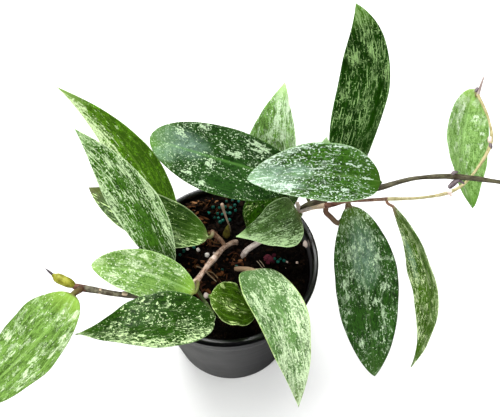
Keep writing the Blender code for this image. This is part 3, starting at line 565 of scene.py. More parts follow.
# one leaf as a grid: rings run from the stalk's foot to the tip; in each ring the angle phi goes
# once round, over the top from the left margin to the right one and back underneath. The blade's
# height is a fold of |v| to the power foldPower, a rippled margin, a few seeded sine waves, the
# thickness, a keel below and a furrow above.
def leafGrid(name, spec):
    form = leafForm
    s = np.sin(np.linspace(form["firstRing"], form["lastRing"], form["rings"]) * math.pi / 2) ** 2
    centre, heading = midrib(spec, s)
    face = facing(spec, s, heading)
    half = halfWidth(spec, s)
    flat = np.clip(s / form["shoulder"], 0, 1) ** 0.7
    wave = form["ripple"] * np.sin(2 * math.pi * form["rippleWaves"] * s + spec["width"])
    base, first = midrib(spec, np.zeros(1))
    point, way = stalkLine(spec, base[0], first[0])
    side = np.cross(heading[0], face[0])
    side = unit(side - (way @ side)[:, None] * way)
    count = len(point)
    centre = np.vstack([point, centre])
    face = np.vstack([np.cross(side, way), face])
    heading = np.vstack([way, heading])
    kept = spec["stalkFade"]
    stalk = np.concatenate([np.linspace(1, kept, count),
                            kept * np.clip(1 - s / spec["stalkReach"], 0, 1)])
    s, half, flat, wave = (np.concatenate([np.zeros(count), row]) for row in (s, half, flat, wave))
    side = np.cross(heading, face)

    over = form["across"]
    phi = np.concatenate([np.linspace(0, math.pi, over), np.linspace(math.pi, 2 * math.pi, over)[1:-1]])
    v = -np.cos(phi)
    top = np.sin(phi)
    below = phi > math.pi + 1e-6
    edge = np.sqrt(np.clip(1 - v ** 6, 0, 1))
    thick = (form["edgeThick"] + (form["thick"] - form["edgeThick"]) * (1 - v ** 2)) / 2 * edge
    stalkHalf = (spec["stalk"] * (1 - flat))[:, None]
    blade = (flat * (1 - form["tipThin"] * s))[:, None]
    fold = math.radians(spec["fold"])
    part = np.clip(half / spec["width"] * 2, 0, 1)[:, None]
    across = (half[:, None] * math.cos(fold) + stalkHalf) * v
    lift = (half[:, None] * np.abs(v) ** form["foldPower"] * math.sin(fold)
            + wave[:, None] * v ** 2 * part)
    dice = np.random.default_rng(sum(ord(letter) for letter in name))
    for _ in range(form["puckerWaves"]):
        alongWaves, acrossWaves, phase = dice.uniform(1, 7), dice.uniform(-2.2, 2.2), dice.uniform(0, 6.3)
        lift = lift + (form["pucker"] / 3 * part * flat[:, None]
                       * np.sin(2 * math.pi * (alongWaves * s[:, None] + acrossWaves * v) + phase))
    bulk = blade * thick * np.where(below, -1, 1) + stalkHalf * top
    toTip = (flat * (1 - s))[:, None]
    keel = np.where(below, form["keel"] * np.exp(-(v / form["keelWidth"]) ** 2) * edge, 0) * toTip
    furrow = np.where(below, 0, form["channel"] * np.exp(-(v / form["channelWidth"]) ** 2)) * toTip
    height = lift + bulk - keel - furrow
    grid = centre[:, None] + side[:, None] * across[..., None] + face[:, None] * height[..., None]

    length = np.linalg.norm(np.diff(centre, axis=0), axis=1)
    reach = np.concatenate([[0], np.cumsum(length)])
    full = np.ones_like(across)
    reach = (reach - reach[count])[:, None] * full
    aside = (half[:, None] + stalkHalf) * v
    fields = {
        "blade": np.stack([reach, aside], axis=-1) / form["uvSpan"],
        "along": s[:, None] * full,
        "across": full * v,
        "under": full * np.where(below, 1.0, 0.0),
        "stalk": stalk[:, None] * full,
    }
    for key in ("paleAt", "paintedSheenAt", "bareAt"):
        fields[key] = nearPlaces(spec[key], fields["along"], fields["across"], reach, aside)
    return grid, fields


# noise layers of a leaf's skin: size across in mm, how far each is drawn out along the blade
leafSkin = {
    "tones": dict(size=13.0, stretch=1.5, detail=2.0, rough=0.5, warp=0.3),
    "mottle": dict(size=2.0, stretch=1.8, detail=3.0, rough=0.65, warp=0.4),
    "grain": dict(size=0.8, stretch=1.2, detail=2.0, rough=0.7, warp=0.0),
    "fibres": dict(size=0.6, stretch=16.0, detail=1.0, rough=0.5, warp=0.2),
    "clumps": dict(size=9.0, stretch=1.4, detail=2.0, rough=0.55, warp=0.3),
    "patches": dict(size=8.0, stretch=1.3, detail=4.0, rough=0.6, warp=0.9),
    "wash": dict(size=4.5, stretch=1.3, detail=5.0, rough=0.75, warp=0.8),
    "splash": dict(size=2.1, stretch=1.5, detail=3.0, rough=0.66, warp=0.7),
    "threads": dict(size=0.9, stretch=9.0, detail=2.0, rough=0.6, warp=0.6),
    "specks": dict(size=1.0, stretch=1.3, detail=1.0, rough=0.5, warp=0.3),
}

# the kinds of splash, each the part of its noise above a level with a soft edge
splashKinds = {
    "splash": dict(level=0.60, soft=0.03),
    "threads": dict(level=0.62, soft=0.035),
    "patches": dict(level=0.62, soft=0.02),
    "specks": dict(level=0.70, soft=0.03),
    "wash": dict(level=0.60, soft=0.06),
}

leafMarks = {
    "bare": -0.13,  # what a bare place and a pale place add to the splash
    "pale": 0.03,
    "patchPull": 0.28,  # a pale place times this, and the mottle, make a patch above the level
    "patchLevel": 0.71,
    "patchSoft": 0.02,
    "thinnest": 0.45,  # share of a splash's strength that is left where the grain breaks it
    "veinCount": 2.8,  # long veins to the half width
    "veinWander": 0.12,
}


# hoya leaf skin, waxy over a splash of air cells: the green drifts between two tones with fine
# mottling, long veins keep to a fixed share of the width, and the splash is noise cut off at a
# level that shifts with the place on the leaf: small flecks, long threads and broad patches
def leafFinish(name, spec):
    material, tree = newTree("hoya_" + name)
    seed = sum(ord(letter) for letter in name) % 97
    blade = addNode(tree, "UVMap", uv_map="blade")
    along, across, under, stalk, pale, paintedSheen, bare = (
        addNode(tree, "Attribute", out="Fac", attribute_name=key)
        for key in ("along", "across", "under", "stalk", "paleAt", "paintedSheenAt", "bareAt"))
    noise = {}
    for number, (key, layer) in enumerate(leafSkin.items()):
        often = leafForm["uvSpan"] / layer["size"] / (spec["splashSize"] if key == "splash" else 1)
        drawn = layer["stretch"] * (spec["streak"] if key in ("splash", "mottle") else 1)
        placed = addNode(tree, "Mapping", {
            "Vector": blade, "Location": (seed * 3.7 + number * 11, seed * 1.3 + number * 7, 0),
            "Scale": (often / drawn, often, 1)})
        noise[key] = addNode(tree, "TexNoise", {
            "Vector": placed, "Scale": 1.0, "Detail": layer["detail"], "Roughness": layer["rough"],
            "Distortion": layer["warp"]})

    # how splashed each place is: more to one side, at the margins, to the tip or in clumps
    outer = addNode(tree, "Math", {0: across}, operation="ABSOLUTE")
    atRim = addNode(tree, "Math", {0: outer, 1: 4.0}, operation="POWER")
    lean = -spec["clump"] / 2
    for source, share in ((noise["clumps"], spec["clump"]), (across, spec["side"]), (atRim, spec["rim"]),
                          (along, spec["toTip"]), (bare, leafMarks["bare"]), (pale, leafMarks["pale"])):
        lean = addNode(tree, "Math", {0: source, 1: share, 2: lean}, operation="MULTIPLY_ADD")
    cover = {}
    for key, kind in splashKinds.items():
        field = addNode(tree, "Math", {0: noise[key], 1: lean}, operation="ADD")
        level = kind["level"] - spec[key]
        cover[key] = addNode(tree, "MapRange", {
            "Value": field, "From Min": level - kind["soft"], "From Max": level + kind["soft"]},
            interpolation_type="SMOOTHSTEP")
    ragged = addNode(tree, "Math", {0: pale, 1: leafMarks["patchPull"], 2: noise["mottle"]},
                     operation="MULTIPLY_ADD")
    level, soft = leafMarks["patchLevel"], leafMarks["patchSoft"]
    cover["pale"] = addNode(tree, "MapRange", {
        "Value": ragged, "From Min": level - soft, "From Max": level + soft},
        interpolation_type="SMOOTHSTEP")
    for key, more in (("patches", "pale"), ("splash", "threads"), ("splash", "specks")):
        cover[key] = addNode(tree, "Math", {0: cover[key], 1: cover[more]}, operation="MAXIMUM")
    for key, strength in (("splash", 1.0), ("patches", spec["patch"]), ("wash", spec["washed"])):
        broken = addNode(tree, "MapRange", {
            "Value": noise["grain"], "From Min": 0.38, "From Max": 0.56,
            "To Min": strength * leafMarks["thinnest"], "To Max": strength})
        cover[key] = addNode(tree, "Math", {0: cover[key], 1: broken}, operation="MULTIPLY")
    flecks = cover["splash"]

    # long veins, evenly over the width but for a little wandering
    wander = addNode(tree, "Math", {0: noise["clumps"], 1: leafMarks["veinWander"], 2: across},
                     operation="MULTIPLY_ADD")
    spread = addNode(tree, "Math", {0: wander, 1: leafMarks["veinCount"]}, operation="MULTIPLY")
    toVein = addNode(tree, "Math", {0: spread, 1: 0.5}, operation="PINGPONG")
    blend = 0.0
    for key, share in (("tones", 0.15), ("mottle", 0.38), ("grain", 0.35), ("fibres", spec["fibres"])):
        blend = addNode(tree, "Math", {0: noise[key], 1: share, 2: blend}, operation="MULTIPLY_ADD")

    # the shares of each shade, by what they follow
    shares = {
        "vein": (toVein, 0, 0.06, spec["veins"], 0),
        "midrib": (outer, 0.01, 0.06, spec.get("midrib", spec["veins"] * 0.8), 0),
        "tone": (blend, 0.43, 0.57, 0, 1),
        "base": (along, 0, spec["baseReach"], 0.85, 0),
        "tip": (along, 0.82, 1, 0, 0.85),
        "rim": (outer, 0.94, 0.99, 0, 0.5),
        "under": (under, 0, 1, 0, 0.6),
        "cellAndSheenTint": (noise["wash"], 0.35, 0.65, 0.12, 0.5),
        "rough": (flecks, 0, 1, 0.38, 0.46),
    }
    for key, row in shares.items():
        shares[key] = addNode(tree, "MapRange", dict(zip(rangeKeys, row)))
    veins = addNode(tree, "Math", {0: shares["vein"], 1: shares["midrib"]}, operation="MAXIMUM")
    # painted sheen: a soft silvery tint over the green at the listed sheen places, broken up by the wash
    # noise, where the waxy skin would shine in the light; it also stands for the silvery air cells
    cellAndSheenTint = addNode(tree, "Math", {0: paintedSheen, 1: shares["cellAndSheenTint"]}, operation="MULTIPLY")
    baseColour, tipColour = spec["ends"]
    colour = addNode(tree, "Mix", {
        0: shares["tone"], 6: hexColour(spec["dark"]), 7: hexColour(spec["light"])},
        data_type="RGBA", out=2)
    for share, code in ((shares["base"], baseColour), (shares["tip"], tipColour),
                        (cellAndSheenTint, spec["cellAndSheenTint"]), (veins, spec["veinColour"]),
                        (cover["wash"], spec["fleck"]), (cover["patches"], spec["fleck"]),
                        (flecks, spec["fleck"]), (shares["rim"], spec["margin"]),
                        (shares["under"], spec["underColour"]), (stalk, spec["stalkColour"])):
        colour = addNode(tree, "Mix", {0: share, 6: colour, 7: hexColour(code)},
                         data_type="RGBA", out=2)

    # the splash lies a hair proud of the skin, and the veins are sunk
    relief = flecks
    for source, share in ((veins, -1.5), (noise["mottle"], 1.2)):
        relief = addNode(tree, "Math", {0: source, 1: share, 2: relief}, operation="MULTIPLY_ADD")
    bump = addNode(tree, "Bump", {"Height": relief, "Strength": 0.4, "Distance": 0.15 * mm})
    endTree(tree, {"Base Color": colour, "Roughness": shares["rough"], "IOR": 1.45,
                   "Specular IOR Level": spec["gloss"], "Normal": bump})
    return material


for name, spec in leaves.items():
    grid, fields = leafGrid(name, spec)
    piece = closedSkin(name + "_blade", grid, leafFinish(name, spec), fields)
    finishPiece(piece, spec["slot"], name)
print("leaves made")


# stems

stemForm = {
    "sides": 18,
    "span": 1.0,
    "capSteps": 4,
    "waves": 6,
    "uneven": 0.05,
    "knotReach": 1.6,
    "knotSwell": 1.12,  # a point this much thicker than the middle one is a knot
}


# tangent of a route and two directions square to it, carried along without twist: each side is
# the one before it without its part along the route
def routeFrames(route):
    way = unit(np.gradient(route, axis=0))
    side = np.empty_like(way)
    side[0] = unit(np.cross(way[0], (0.31, 0.86, 0.41)))
    for i in range(1, len(way)):
        side[i] = unit(side[i - 1] - (side[i - 1] @ way[i]) * way[i])
    return way, side, np.cross(way, side)


# a tube whose ring at each point of the route is a circle with a little seeded unevenness;
# its ends are rounded by rings that shrink like a quarter circle
def tubeGrid(points, seed, uneven=stemForm["uneven"], sides=stemForm["sides"]):
    route = smoothRoute(points, stemForm["span"])
    way, _, _ = routeFrames(route[:, :3])
    angle = np.linspace(0, math.pi / 2, stemForm["capSteps"] + 1)[1:-1]
    rise, shrink = np.sin(angle)[:, None], np.cos(angle)[:, None]
    for end, sign in ((0, -1), (-1, 1)):
        cap = np.hstack([route[end, :3] + sign * way[end] * route[end, 3] * rise, route[end, 3] * shrink])
        route = np.vstack([cap[::-1], route]) if end == 0 else np.vstack([route, cap])
    way, side, over = routeFrames(route[:, :3])
    theta = np.linspace(0, 2 * math.pi, sides, endpoint=False)
    reach = np.concatenate([[0], np.cumsum(np.linalg.norm(np.diff(route[:, :3], axis=0), axis=1))])
    dice = np.random.default_rng(seed)
    radius = route[:, 3:4] * np.ones(sides)
    for _ in range(stemForm["waves"]):
        lobes, pace, phase = dice.integers(1, 5), dice.uniform(0.1, 0.6), dice.uniform(0, 6.3)
        radius = radius * (1 + uneven / 2 * np.sin(lobes * theta + pace * reach[:, None] + phase))
    cosine, sine = np.cos(theta), np.sin(theta)
    grid = (route[:, None, :3] + side[:, None] * (radius * cosine)[..., None]
            + over[:, None] * (radius * sine)[..., None])
    bark = np.stack([radius * cosine, radius * sine, reach[:, None] * np.ones(sides)], axis=-1)
    knots = np.array(points)
    gap = np.linalg.norm(route[:, None, :3] - knots[None, :, :3], axis=-1)
    knotted = knots[:, 3] > np.median(knots[:, 3]) * stemForm["knotSwell"]
    near = np.exp(-(gap / stemForm["knotReach"]) ** 2) * knotted
    return grid, {"bark": bark, "knot": near.max(axis=1)[:, None] * np.ones(sides)}


# sizes in mm of the bark's streaks, patches and corky dots, and how far streaks are drawn out
barkGrain = {"streak": 0.625, "drawn": 6.25, "patch": 3.571, "dot": 1.25}


# young woody bark: thin cork drawn out along the stem, with pale and dark streaks, small
# corky dots and darker or paler scars at the knots
def barkFinish(name, look):
    material, tree = newTree(name)
    bark = addNode(tree, "Attribute", out="Vector", attribute_name="bark")
    knot = addNode(tree, "Attribute", out="Fac", attribute_name="knot")
    drawn = addNode(tree, "Mapping", {"Vector": bark, "Scale": (1, 1, 1 / barkGrain["drawn"])})
    streaks = addNode(tree, "TexNoise", {
        "Vector": drawn, "Scale": 1 / barkGrain["streak"], "Detail": 3.0, "Roughness": 0.65})
    patches = addNode(tree, "TexNoise", {
        "Vector": bark, "Scale": 1 / barkGrain["patch"], "Detail": 3.0, "Roughness": 0.6})
    dots = addNode(tree, "TexVoronoi", {"Vector": bark, "Scale": 1 / barkGrain["dot"]}, out="Distance")
    tone, patch, dot, scar = (addNode(tree, "MapRange", dict(zip(rangeKeys, row))) for row in (
        (streaks, 0.36, 0.66, 0, 1), (patches, 0.45, 0.62, 0, look["patchShare"]),
        (dots, 0.12, 0.28, 0.5, 0), (knot, 0, 1, 0, look["knotShare"])))
    colour = addNode(tree, "Mix", {
        0: tone, 6: hexColour(look["dark"]), 7: hexColour(look["light"])}, data_type="RGBA", out=2)
    for share, code in ((patch, look["patch"]), (dot, look["dot"]), (scar, look["knot"])):
        colour = addNode(tree, "Mix", {0: share, 6: colour, 7: hexColour(code)},
                         data_type="RGBA", out=2)
    bump = addNode(tree, "Bump", {"Height": streaks, "Strength": 0.5, "Distance": 0.3 * mm})
    endTree(tree, {"Base Color": colour, "Roughness": look["roughness"], "IOR": 1.45,
                   "Specular IOR Level": 0.3, "Normal": bump})
    return material


barks = {
    "cane_tan": dict(dark="#5c4032", light="#b39680", patch="#d0bba8", patchShare=0.6, dot="#e0d4c6",
                     knot="#ddd2b4", knotShare=0.6, roughness=0.7),
    "cane_grey": dict(dark="#8f7e74", light="#d2c6bc", patch="#e6ddd4", patchShare=0.6, dot="#efe8e0",
                      knot="#a98c6c", knotShare=0.4, roughness=0.7),
    "shoot_brown": dict(dark="#4a2e20", light="#96745a", patch="#b49a84", patchShare=0.35, dot="#c4ae98",
                        knot="#7c5c44", knotShare=0.5, roughness=0.7),
    "vine_brown": dict(dark="#2c231b", light="#565040", patch="#7e7c66", patchShare=0.7, dot="#857c64",
                       knot="#4a3228", knotShare=0.6, roughness=0.55),
    "vine_olive": dict(dark="#2e2a1e", light="#5c5644", patch="#6c6c4e", patchShare=0.4, dot="#77744f",
                       knot="#2e2018", knotShare=0.7, roughness=0.5),
    "vine_cream": dict(dark="#947a62", light="#d2bea6", patch="#c4b890", patchShare=0.5, dot="#e2d6bc",
                       knot="#a07c66", knotShare=0.6, roughness=0.5),
    "vine_pink": dict(dark="#4c3428", light="#8a6a58", patch="#9a8068", patchShare=0.4, dot="#b8a48c",
                      knot="#7c5a48", knotShare=0.7, roughness=0.5),
    "vine_lime": dict(dark="#8a8050", light="#b8b282", patch="#c8ba92", patchShare=0.6, dot="#dcd6b0",
                      knot="#dcc4b4", knotShare=0.5, roughness=0.5),
    "bract_purple": dict(dark="#382e30", light="#7c7074", patch="#948a8c", patchShare=0.5, dot="#5a4a52",
                         knot="#4a3a40", knotShare=0.3, roughness=0.6),
    "node_pale": dict(dark="#c4a898", light="#ead9cf", patch="#f0e6dc", patchShare=0.5, dot="#d8c0b0",
                      knot="#e6d6cc", knotShare=0.0, roughness=0.6),
    "tip_grey": dict(dark="#7c6a66", light="#a89a92", patch="#b8aca4", patchShare=0.4, dot="#8a7a74",
                     knot="#a89a92", knotShare=0.0, roughness=0.6),
    "node_brown": dict(dark="#3c2620", light="#7c5242", patch="#8f6a58", patchShare=0.4, dot="#5a3c30",
                       knot="#5a3c30", knotShare=0.0, roughness=0.6),
}
for look, spec in barks.items():
    spec["material"] = barkFinish("hoya_bark_" + look, spec)


# the same points with every radius scaled by a share
def slimmer(points, share):
    return [(x, y, z, radius * share) for x, y, z, radius in points]


# each stem piece: its route, its bark and the node that it stands for; the short ones are scars,
# nodes and dry bracts on the longer ones
stemPieces = {
    "cane_left": (stems["left"][:8], "cane_tan", "stem_left"),
    "vine_left": (stems["left"][7:], "vine_brown", "stem_left"),
    "shoot_left": (stems["leftShoot"], "shoot_brown", "stem_left"),
    "cane_right": (stems["right"][:7], "cane_grey", "stem_right"),
    "vine_fork": (stems["right"][5:8], "vine_cream", "stem_right"),
    "vine_thin": (slimmer(stems["right"][7:10], 0.8), "vine_pink", "stem_right"),
    "vine_tan": (slimmer(stems["right"][9:16], 0.8), "vine_lime", "stem_right"),
    "vine_end": ([(157, 92.5, 128, 1.05), (159, 97.5, 130.5, 0.8), (161, 102, 133, 0.55)], "tip_grey",
                 "stem_right"),
    "vine_dark": (stems["dark"], "vine_olive", "stem_right"),
    "bract_upper": ([(130.5, 30.5, 130.8, 1.0), (131.5, 31.5, 132.2, 1.1), (133.5, 31.8, 131.8, 0.7)],
                    "bract_purple", "stem_right"),
    "bract_lower": ([(134, 28.5, 128.6, 1.2), (131.5, 27, 127.8, 1.7), (129.3, 25.2, 127, 1.3)],
                    "bract_purple", "stem_right"),
    "bract_side": ([(135.5, 28.5, 127.6, 0.9), (137.5, 27.5, 126.8, 0.6)], "bract_purple", "stem_right"),
    "bract_tan": ([(133, 31, 111.6, 1.0), (133.7, 29.8, 110.8, 0.7)], "node_pale", "stem_right"),
    "node_tan": ([(132, 31.2, 112, 1.35), (133.4, 31.8, 112.1, 1.35)], "node_pale", "stem_right"),
    "node_far": ([(161.1, 63.4, 118.9, 1.35), (161.3, 65.2, 119.5, 1.35)], "node_pale", "stem_right"),
    "knob_far": ([(161, 59.6, 117.8, 1.4), (161.2, 61, 118.3, 1.25)], "bract_purple", "stem_right"),
    "knob_end": ([(156.2, 95.2, 128.8, 1.0), (156.9, 96.4, 129.4, 1.0)], "bract_purple", "stem_right"),
    "stub_fork": ([(43.2, 21.4, 113.5, 1.3), (42, 23, 117, 1.2)], "node_pale", "stem_right"),
    "node_fork": ([(58.5, 23.6, 113, 1.75), (63.5, 24.5, 112.8, 1.45), (67, 25, 112.9, 1.0)],
                  "node_brown", "stem_right"),
    "scar_cane": ([(-7.7, -1.4, 97.7, 2.05), (-8.3, -2.6, 98.3, 2.05)], "node_pale", "stem_left"),
    "scar_dot": ([(-8, -3.1, 99.5, 0.6), (-8.2, -3.4, 99.6, 0.5)], "node_brown", "stem_left"),
    "ring_vine": ([(-70.8, -25.3, 106, 1.72), (-71.0, -25.2, 106, 1.72)], "vine_cream", "stem_left"),
    "node_vine": ([(-56, -27.8, 106.1, 1.68), (-57.6, -27.5, 106.1, 1.68)], "vine_cream", "stem_left"),
    "fork_vine": ([(-79.5, -23.1, 106, 2.05), (-84.6, -22, 106, 1.9), (-86, -21.6, 106.3, 1.6)],
                  "node_brown", "stem_left"),
}
for number, (name, (points, look, node)) in enumerate(stemPieces.items()):
    grid, fields = tubeGrid(points, 40 + number)
    finishPiece(closedSkin(name, grid, barks[look]["material"], fields), "bark", node)

# small growths, each with its own skin: a dry stalk, a green shoot and the rolled young leaf
small = {
    "stalk_dry": dict(
        points=[(2, 27.5, 66, 0.5), (2, 27.5, 76, 0.5), (1.2, 29, 84, 0.5), (-1, 32, 92, 0.7),
                (-2.6, 34.7, 100, 1.1)],
        dark="#6c6a58", light="#c6a890", patch="#d8c0a8", patchShare=0.6, dot="#8a7a66",
        knot="#d0b09c", knotShare=0.6, roughness=0.8, slot="straw", node="dry_stalk"),
    "shoot_green": dict(
        points=[(-0.8, 23.6, 73, 1.2), (-0.8, 23.6, 79, 1.3), (-0.6, 23.8, 83, 2.2),
                (0, 24.8, 87, 1.7), (0.6, 25.8, 90, 0.6)],
        dark="#3c3812", light="#7c7828", patch="#a59c48", patchShare=0.4, dot="#4a4418",
        knot="#5a4a28", knotShare=0.5, roughness=0.5, slot="young_growth", node="green_shoot"),
    "young_leaf": dict(
        points=[(-85.5, -21.8, 106.3, 1.0), (-86.8, -21.2, 107, 2.2), (-89.5, -20.2, 108, 3.0),
                (-93.0, -18.5, 108.5, 3.0), (-95.7, -17.3, 109.2, 2.6), (-97.0, -16.6, 109.8, 1.4)],
        dark="#5c5a14", light="#8f8f2a", patch="#b5b84a", patchShare=0.5, dot="#6f6c1c",
        knot="#8f8c2e", knotShare=0.0, roughness=0.45, slot="young_growth", node="leaf_young"),
    "young_leaf_tip": dict(
        points=[(-96.5, -16.9, 109.8, 0.9), (-99.3, -14.9, 111, 0.7), (-101.6, -13.2, 112, 0.35)],
        dark="#2c262a", light="#5a5056", patch="#6c6066", patchShare=0.4, dot="#3c3438",
        knot="#3c3438", knotShare=0.0, roughness=0.6, slot="young_growth", node="leaf_young"),
}
for number, (name, spec) in enumerate(small.items()):
    grid, fields = tubeGrid(spec["points"], 60 + number)
    piece = closedSkin(name, grid, barkFinish("hoya_skin_" + name, spec), fields)
    finishPiece(piece, spec["slot"], spec["node"])
print("stems made")


# pot: injection moulded polypropylene, black, satin on the body and glossier on the lip

pot = {
    "height": 94.0,
    "lipRadius": 54.0,
    "lipWidth": 3.4,
    "lipDrop": 4.5,
    "lipBevel": 0.5,  # fall of the lip's top towards the inside
    "neckRadius": 52.0,
    "baseRadius": 38.0,
    "wall": 1.4,
    "floor": 2.4,
    "heel": 1.5,
    "beads": (74.0, 82.0),
    "bead": 0.4,
    "drains": 8,
    "drainRing": 25.0,
    "drainRadius": 4.5,
    "sides": 160,
    "ringRun": 50.0,  # how far one of the mould's fine rings runs before it fades, and their spacing
    "ringRise": 2.381,
    "scuff": 11.11,  # size of a scuff
    "body": "#3a3a3c",
    # the grey of the dust, also laid on as painted light that makes the left of the body lighter
    "dustAndPaintedLight": "#7a7a78",
    "lip": "#0c0c0e",
}
potSlope = (pot["neckRadius"] - pot["baseRadius"]) / (pot["height"] - pot["lipDrop"])


# profile (radius, height) from the middle of the floor up the inner wall, over the lip, down the
# outer wall with its two beads and back under the base. The lip is a flattened half round, the
# cosine to the power 0.6 across and the sine to the power 0.5 up, and a bead is a squared cosine.
def potProfile():
    lipHalf = pot["lipWidth"] / 2
    lipFoot = pot["height"] - pot["lipDrop"]
    heel = pot["heel"]
    heelIn = pot["baseRadius"] - pot["wall"]
    rows = [(2, pot["floor"]), (heelIn - heel, pot["floor"]), (heelIn - 0.3, pot["floor"] + 0.3),
            (heelIn + potSlope * pot["floor"], pot["floor"] + heel)]
    lipInner = pot["lipRadius"] - pot["lipWidth"]
    rows += [(lipInner - 0.2, lipFoot - 1.5), (lipInner, lipFoot - 0.6)]
    turn = np.linspace(math.pi, 0, 21)
    squash = np.sign(np.cos(turn)) * np.abs(np.cos(turn)) ** 0.6
    fall = pot["lipBevel"] * (1 - squash) / 2
    rows += list(zip(pot["lipRadius"] - lipHalf + lipHalf * squash,
                     pot["height"] - lipHalf + lipHalf * np.sin(turn) ** 0.5 - fall))
    rows += [(pot["lipRadius"], lipFoot + 0.5), (pot["lipRadius"] - 0.15, lipFoot + 0.15),
             (pot["lipRadius"] - 0.5, lipFoot), (pot["baseRadius"] + potSlope * lipFoot + 0.4, lipFoot),
             (pot["baseRadius"] + potSlope * (lipFoot - 0.4), lipFoot - 0.4)]
    for height in reversed(pot["beads"]):
        step = np.linspace(1.0, -1.0, 7)
        rise = pot["bead"] * np.cos(step * math.pi / 2) ** 2
        rows += list(zip(pot["baseRadius"] + potSlope * (height + step) + rise, height + step))
    rows += [(pot["baseRadius"] + potSlope * heel, heel), (pot["baseRadius"] - 0.15, heel / 2),
             (pot["baseRadius"] - 0.6, heel / 5), (pot["baseRadius"] - heel, 0), (2, 0)]
    return np.array(rows)


# the profile with long steps cut into short ones, turned round the axis: the radius times the
# cosine and the sine of each angle
def turnedGrid(profile, sides, span):
    rows = [profile[:1]]
    for a, b in zip(profile[:-1], profile[1:]):
        count = max(1, round(np.linalg.norm(b - a) / span))
        rows.append(a + (b - a) * (np.arange(1, count + 1) / count)[:, None])
    line = np.vstack(rows)
    theta = np.linspace(0, 2 * math.pi, sides, endpoint=False)
    radius, height = line[:, :1], line[:, 1:]
    return np.stack([radius * np.cos(theta), radius * np.sin(theta), height * np.ones(sides)], axis=-1)


# black polypropylene from a mould: satin, with fine level rings, scuffed and greyed by dust, and a cleaner
# and glossier lip; the grey is laid thickest at the left and thins to the right, a painted light that makes
# the left side of the body lighter
def potFinish():
    material, tree = newTree("polypropylene_black_moulded")
    place = addNode(tree, "TexCoord", out="Object")
    aside, height = (addNode(tree, "SeparateXYZ", {0: place}, out=axis) for axis in ("X", "Z"))
    often = 1 / (pot["ringRun"] * mm)
    rings = addNode(tree, "Mapping", {"Vector": place, "Scale": (often, often, 1 / (pot["ringRise"] * mm))})
    brushed = addNode(tree, "TexNoise", {
        "Vector": rings, "Scale": 1.0, "Detail": 3.0, "Roughness": 0.6})
    scuffs = addNode(tree, "TexNoise", {
        "Vector": place, "Scale": 1 / (pot["scuff"] * mm), "Detail": 5.0, "Roughness": 0.65})
    grime = addNode(tree, "Math", {0: scuffs, 1: 0.6, 2: brushed}, operation="MULTIPLY_ADD")
    lipFoot = (pot["height"] - pot["lipDrop"]) * mm
    # the grey follows the scuffs and rings, and its fall from left to right is painted light that makes the
    # left side lighter
    dustAndPaintedLight, paintedLeftLight, lip, worn = (addNode(tree, "MapRange", dict(zip(rangeKeys, row))) for row in (
        (grime, 0.65, 0.95, 0.6, 1.1), (aside, -0.035, 0.02, 0.75, 0.12),
        (height, lipFoot - mm, lipFoot, 0, 1), (brushed, 0.3, 0.7, 0.42, 0.56)))
    dustAndPaintedLight = addNode(tree, "Math", {0: dustAndPaintedLight, 1: paintedLeftLight}, operation="MULTIPLY")
    colour = hexColour(pot["body"])
    for share, code in ((dustAndPaintedLight, pot["dustAndPaintedLight"]), (lip, pot["lip"])):
        colour = addNode(tree, "Mix", {0: share, 6: colour, 7: hexColour(code)},
                         data_type="RGBA", out=2)
    rough = addNode(tree, "Mix", {0: lip, 2: worn, 3: 0.3})
    mirror = addNode(tree, "Mix", {0: lip, 2: 0.5, 3: 1.0})
    bump = addNode(tree, "Bump", {"Height": brushed, "Strength": 0.25, "Distance": 0.2 * mm})
    endTree(tree, {"Base Color": colour, "Roughness": rough, "IOR": 1.49, "Specular IOR Level": mirror,
                   "Normal": bump})
    return material


# the turned shell with its drain holes cut by rods that stand in a ring about the axis
def makePot():
    shell = closedSkin("pot_shell", turnedGrid(potProfile(), pot["sides"], 4.0), potFinish())
    drills = []
    rod = np.array([(0.01, -3.0), (pot["drainRadius"], -3.0), (pot["drainRadius"], 6.0), (0.01, 6.0)])
    for k in range(pot["drains"]):
        angle = 2 * math.pi * (k + 0.5) / pot["drains"]
        place = (pot["drainRing"] * math.cos(angle), pot["drainRing"] * math.sin(angle), 0)
        drills.append(closedSkin(f"drill_{k}", turnedGrid(rod, 32, 20.0) + place, shell.data.materials[0]))
        cut = shell.modifiers.new(f"drill_{k}", "BOOLEAN")
        cut.operation = "DIFFERENCE"
        cut.object = drills[-1]
    graph = bpy.context.evaluated_depsgraph_get()
    mesh = bpy.data.meshes.new_from_object(shell.evaluated_get(graph))
    made = bpy.data.objects.new("pot_body", mesh)
    bpy.context.scene.collection.objects.link(made)
    for item in (shell, *drills):
        bpy.data.objects.remove(item, do_unlink=True)
    mesh.shade_smooth()
    mesh.set_sharp_from_angle(angle=math.radians(40))
    return made


finishPiece(makePot(), "pot_plastic", "pot")
print("pot made")


# potting mix: damp bark and peat, nearly black, with perlite, green feed beads and fine roots

soil = {
    "rings": 110,
    "sides": 180,
    "gap": 0.6,  # between the mix and the pot's wall
    "bankFrom": 28.0,
    "bankRise": (3.5, 7.0),
    "bankSide": math.radians(120),
    "lumps": dict(count=70, seed=17, size=(3.5, 8.0), rise=(-1.6, 2.6), limits=(-2.5, 3.0)),
    "crumbs": dict(count=1100, seed=23, size=(1.0, 2.6), rise=(-0.8, 1.3), limits=(-1.0, 1.4)),
    "coarse": 4.545,  # sizes of its bits and of its fibres
    "fine": 1.111,
    "dark": "#060403",
    "brown": "#1e1610",
}
soil["edge"] = pot["baseRadius"] + potSlope * (mixTop - 1) - pot["wall"] - soil["gap"]


# places, sizes and rises of the round bumps of one kind, drawn evenly
def soilBumps(kind):
    dice = np.random.default_rng(kind["seed"])
    spots = dice.uniform(-soil["edge"], soil["edge"], (kind["count"], 2))
    return spots, dice.uniform(*kind["size"], kind["count"]), dice.uniform(*kind["rise"], kind["count"])


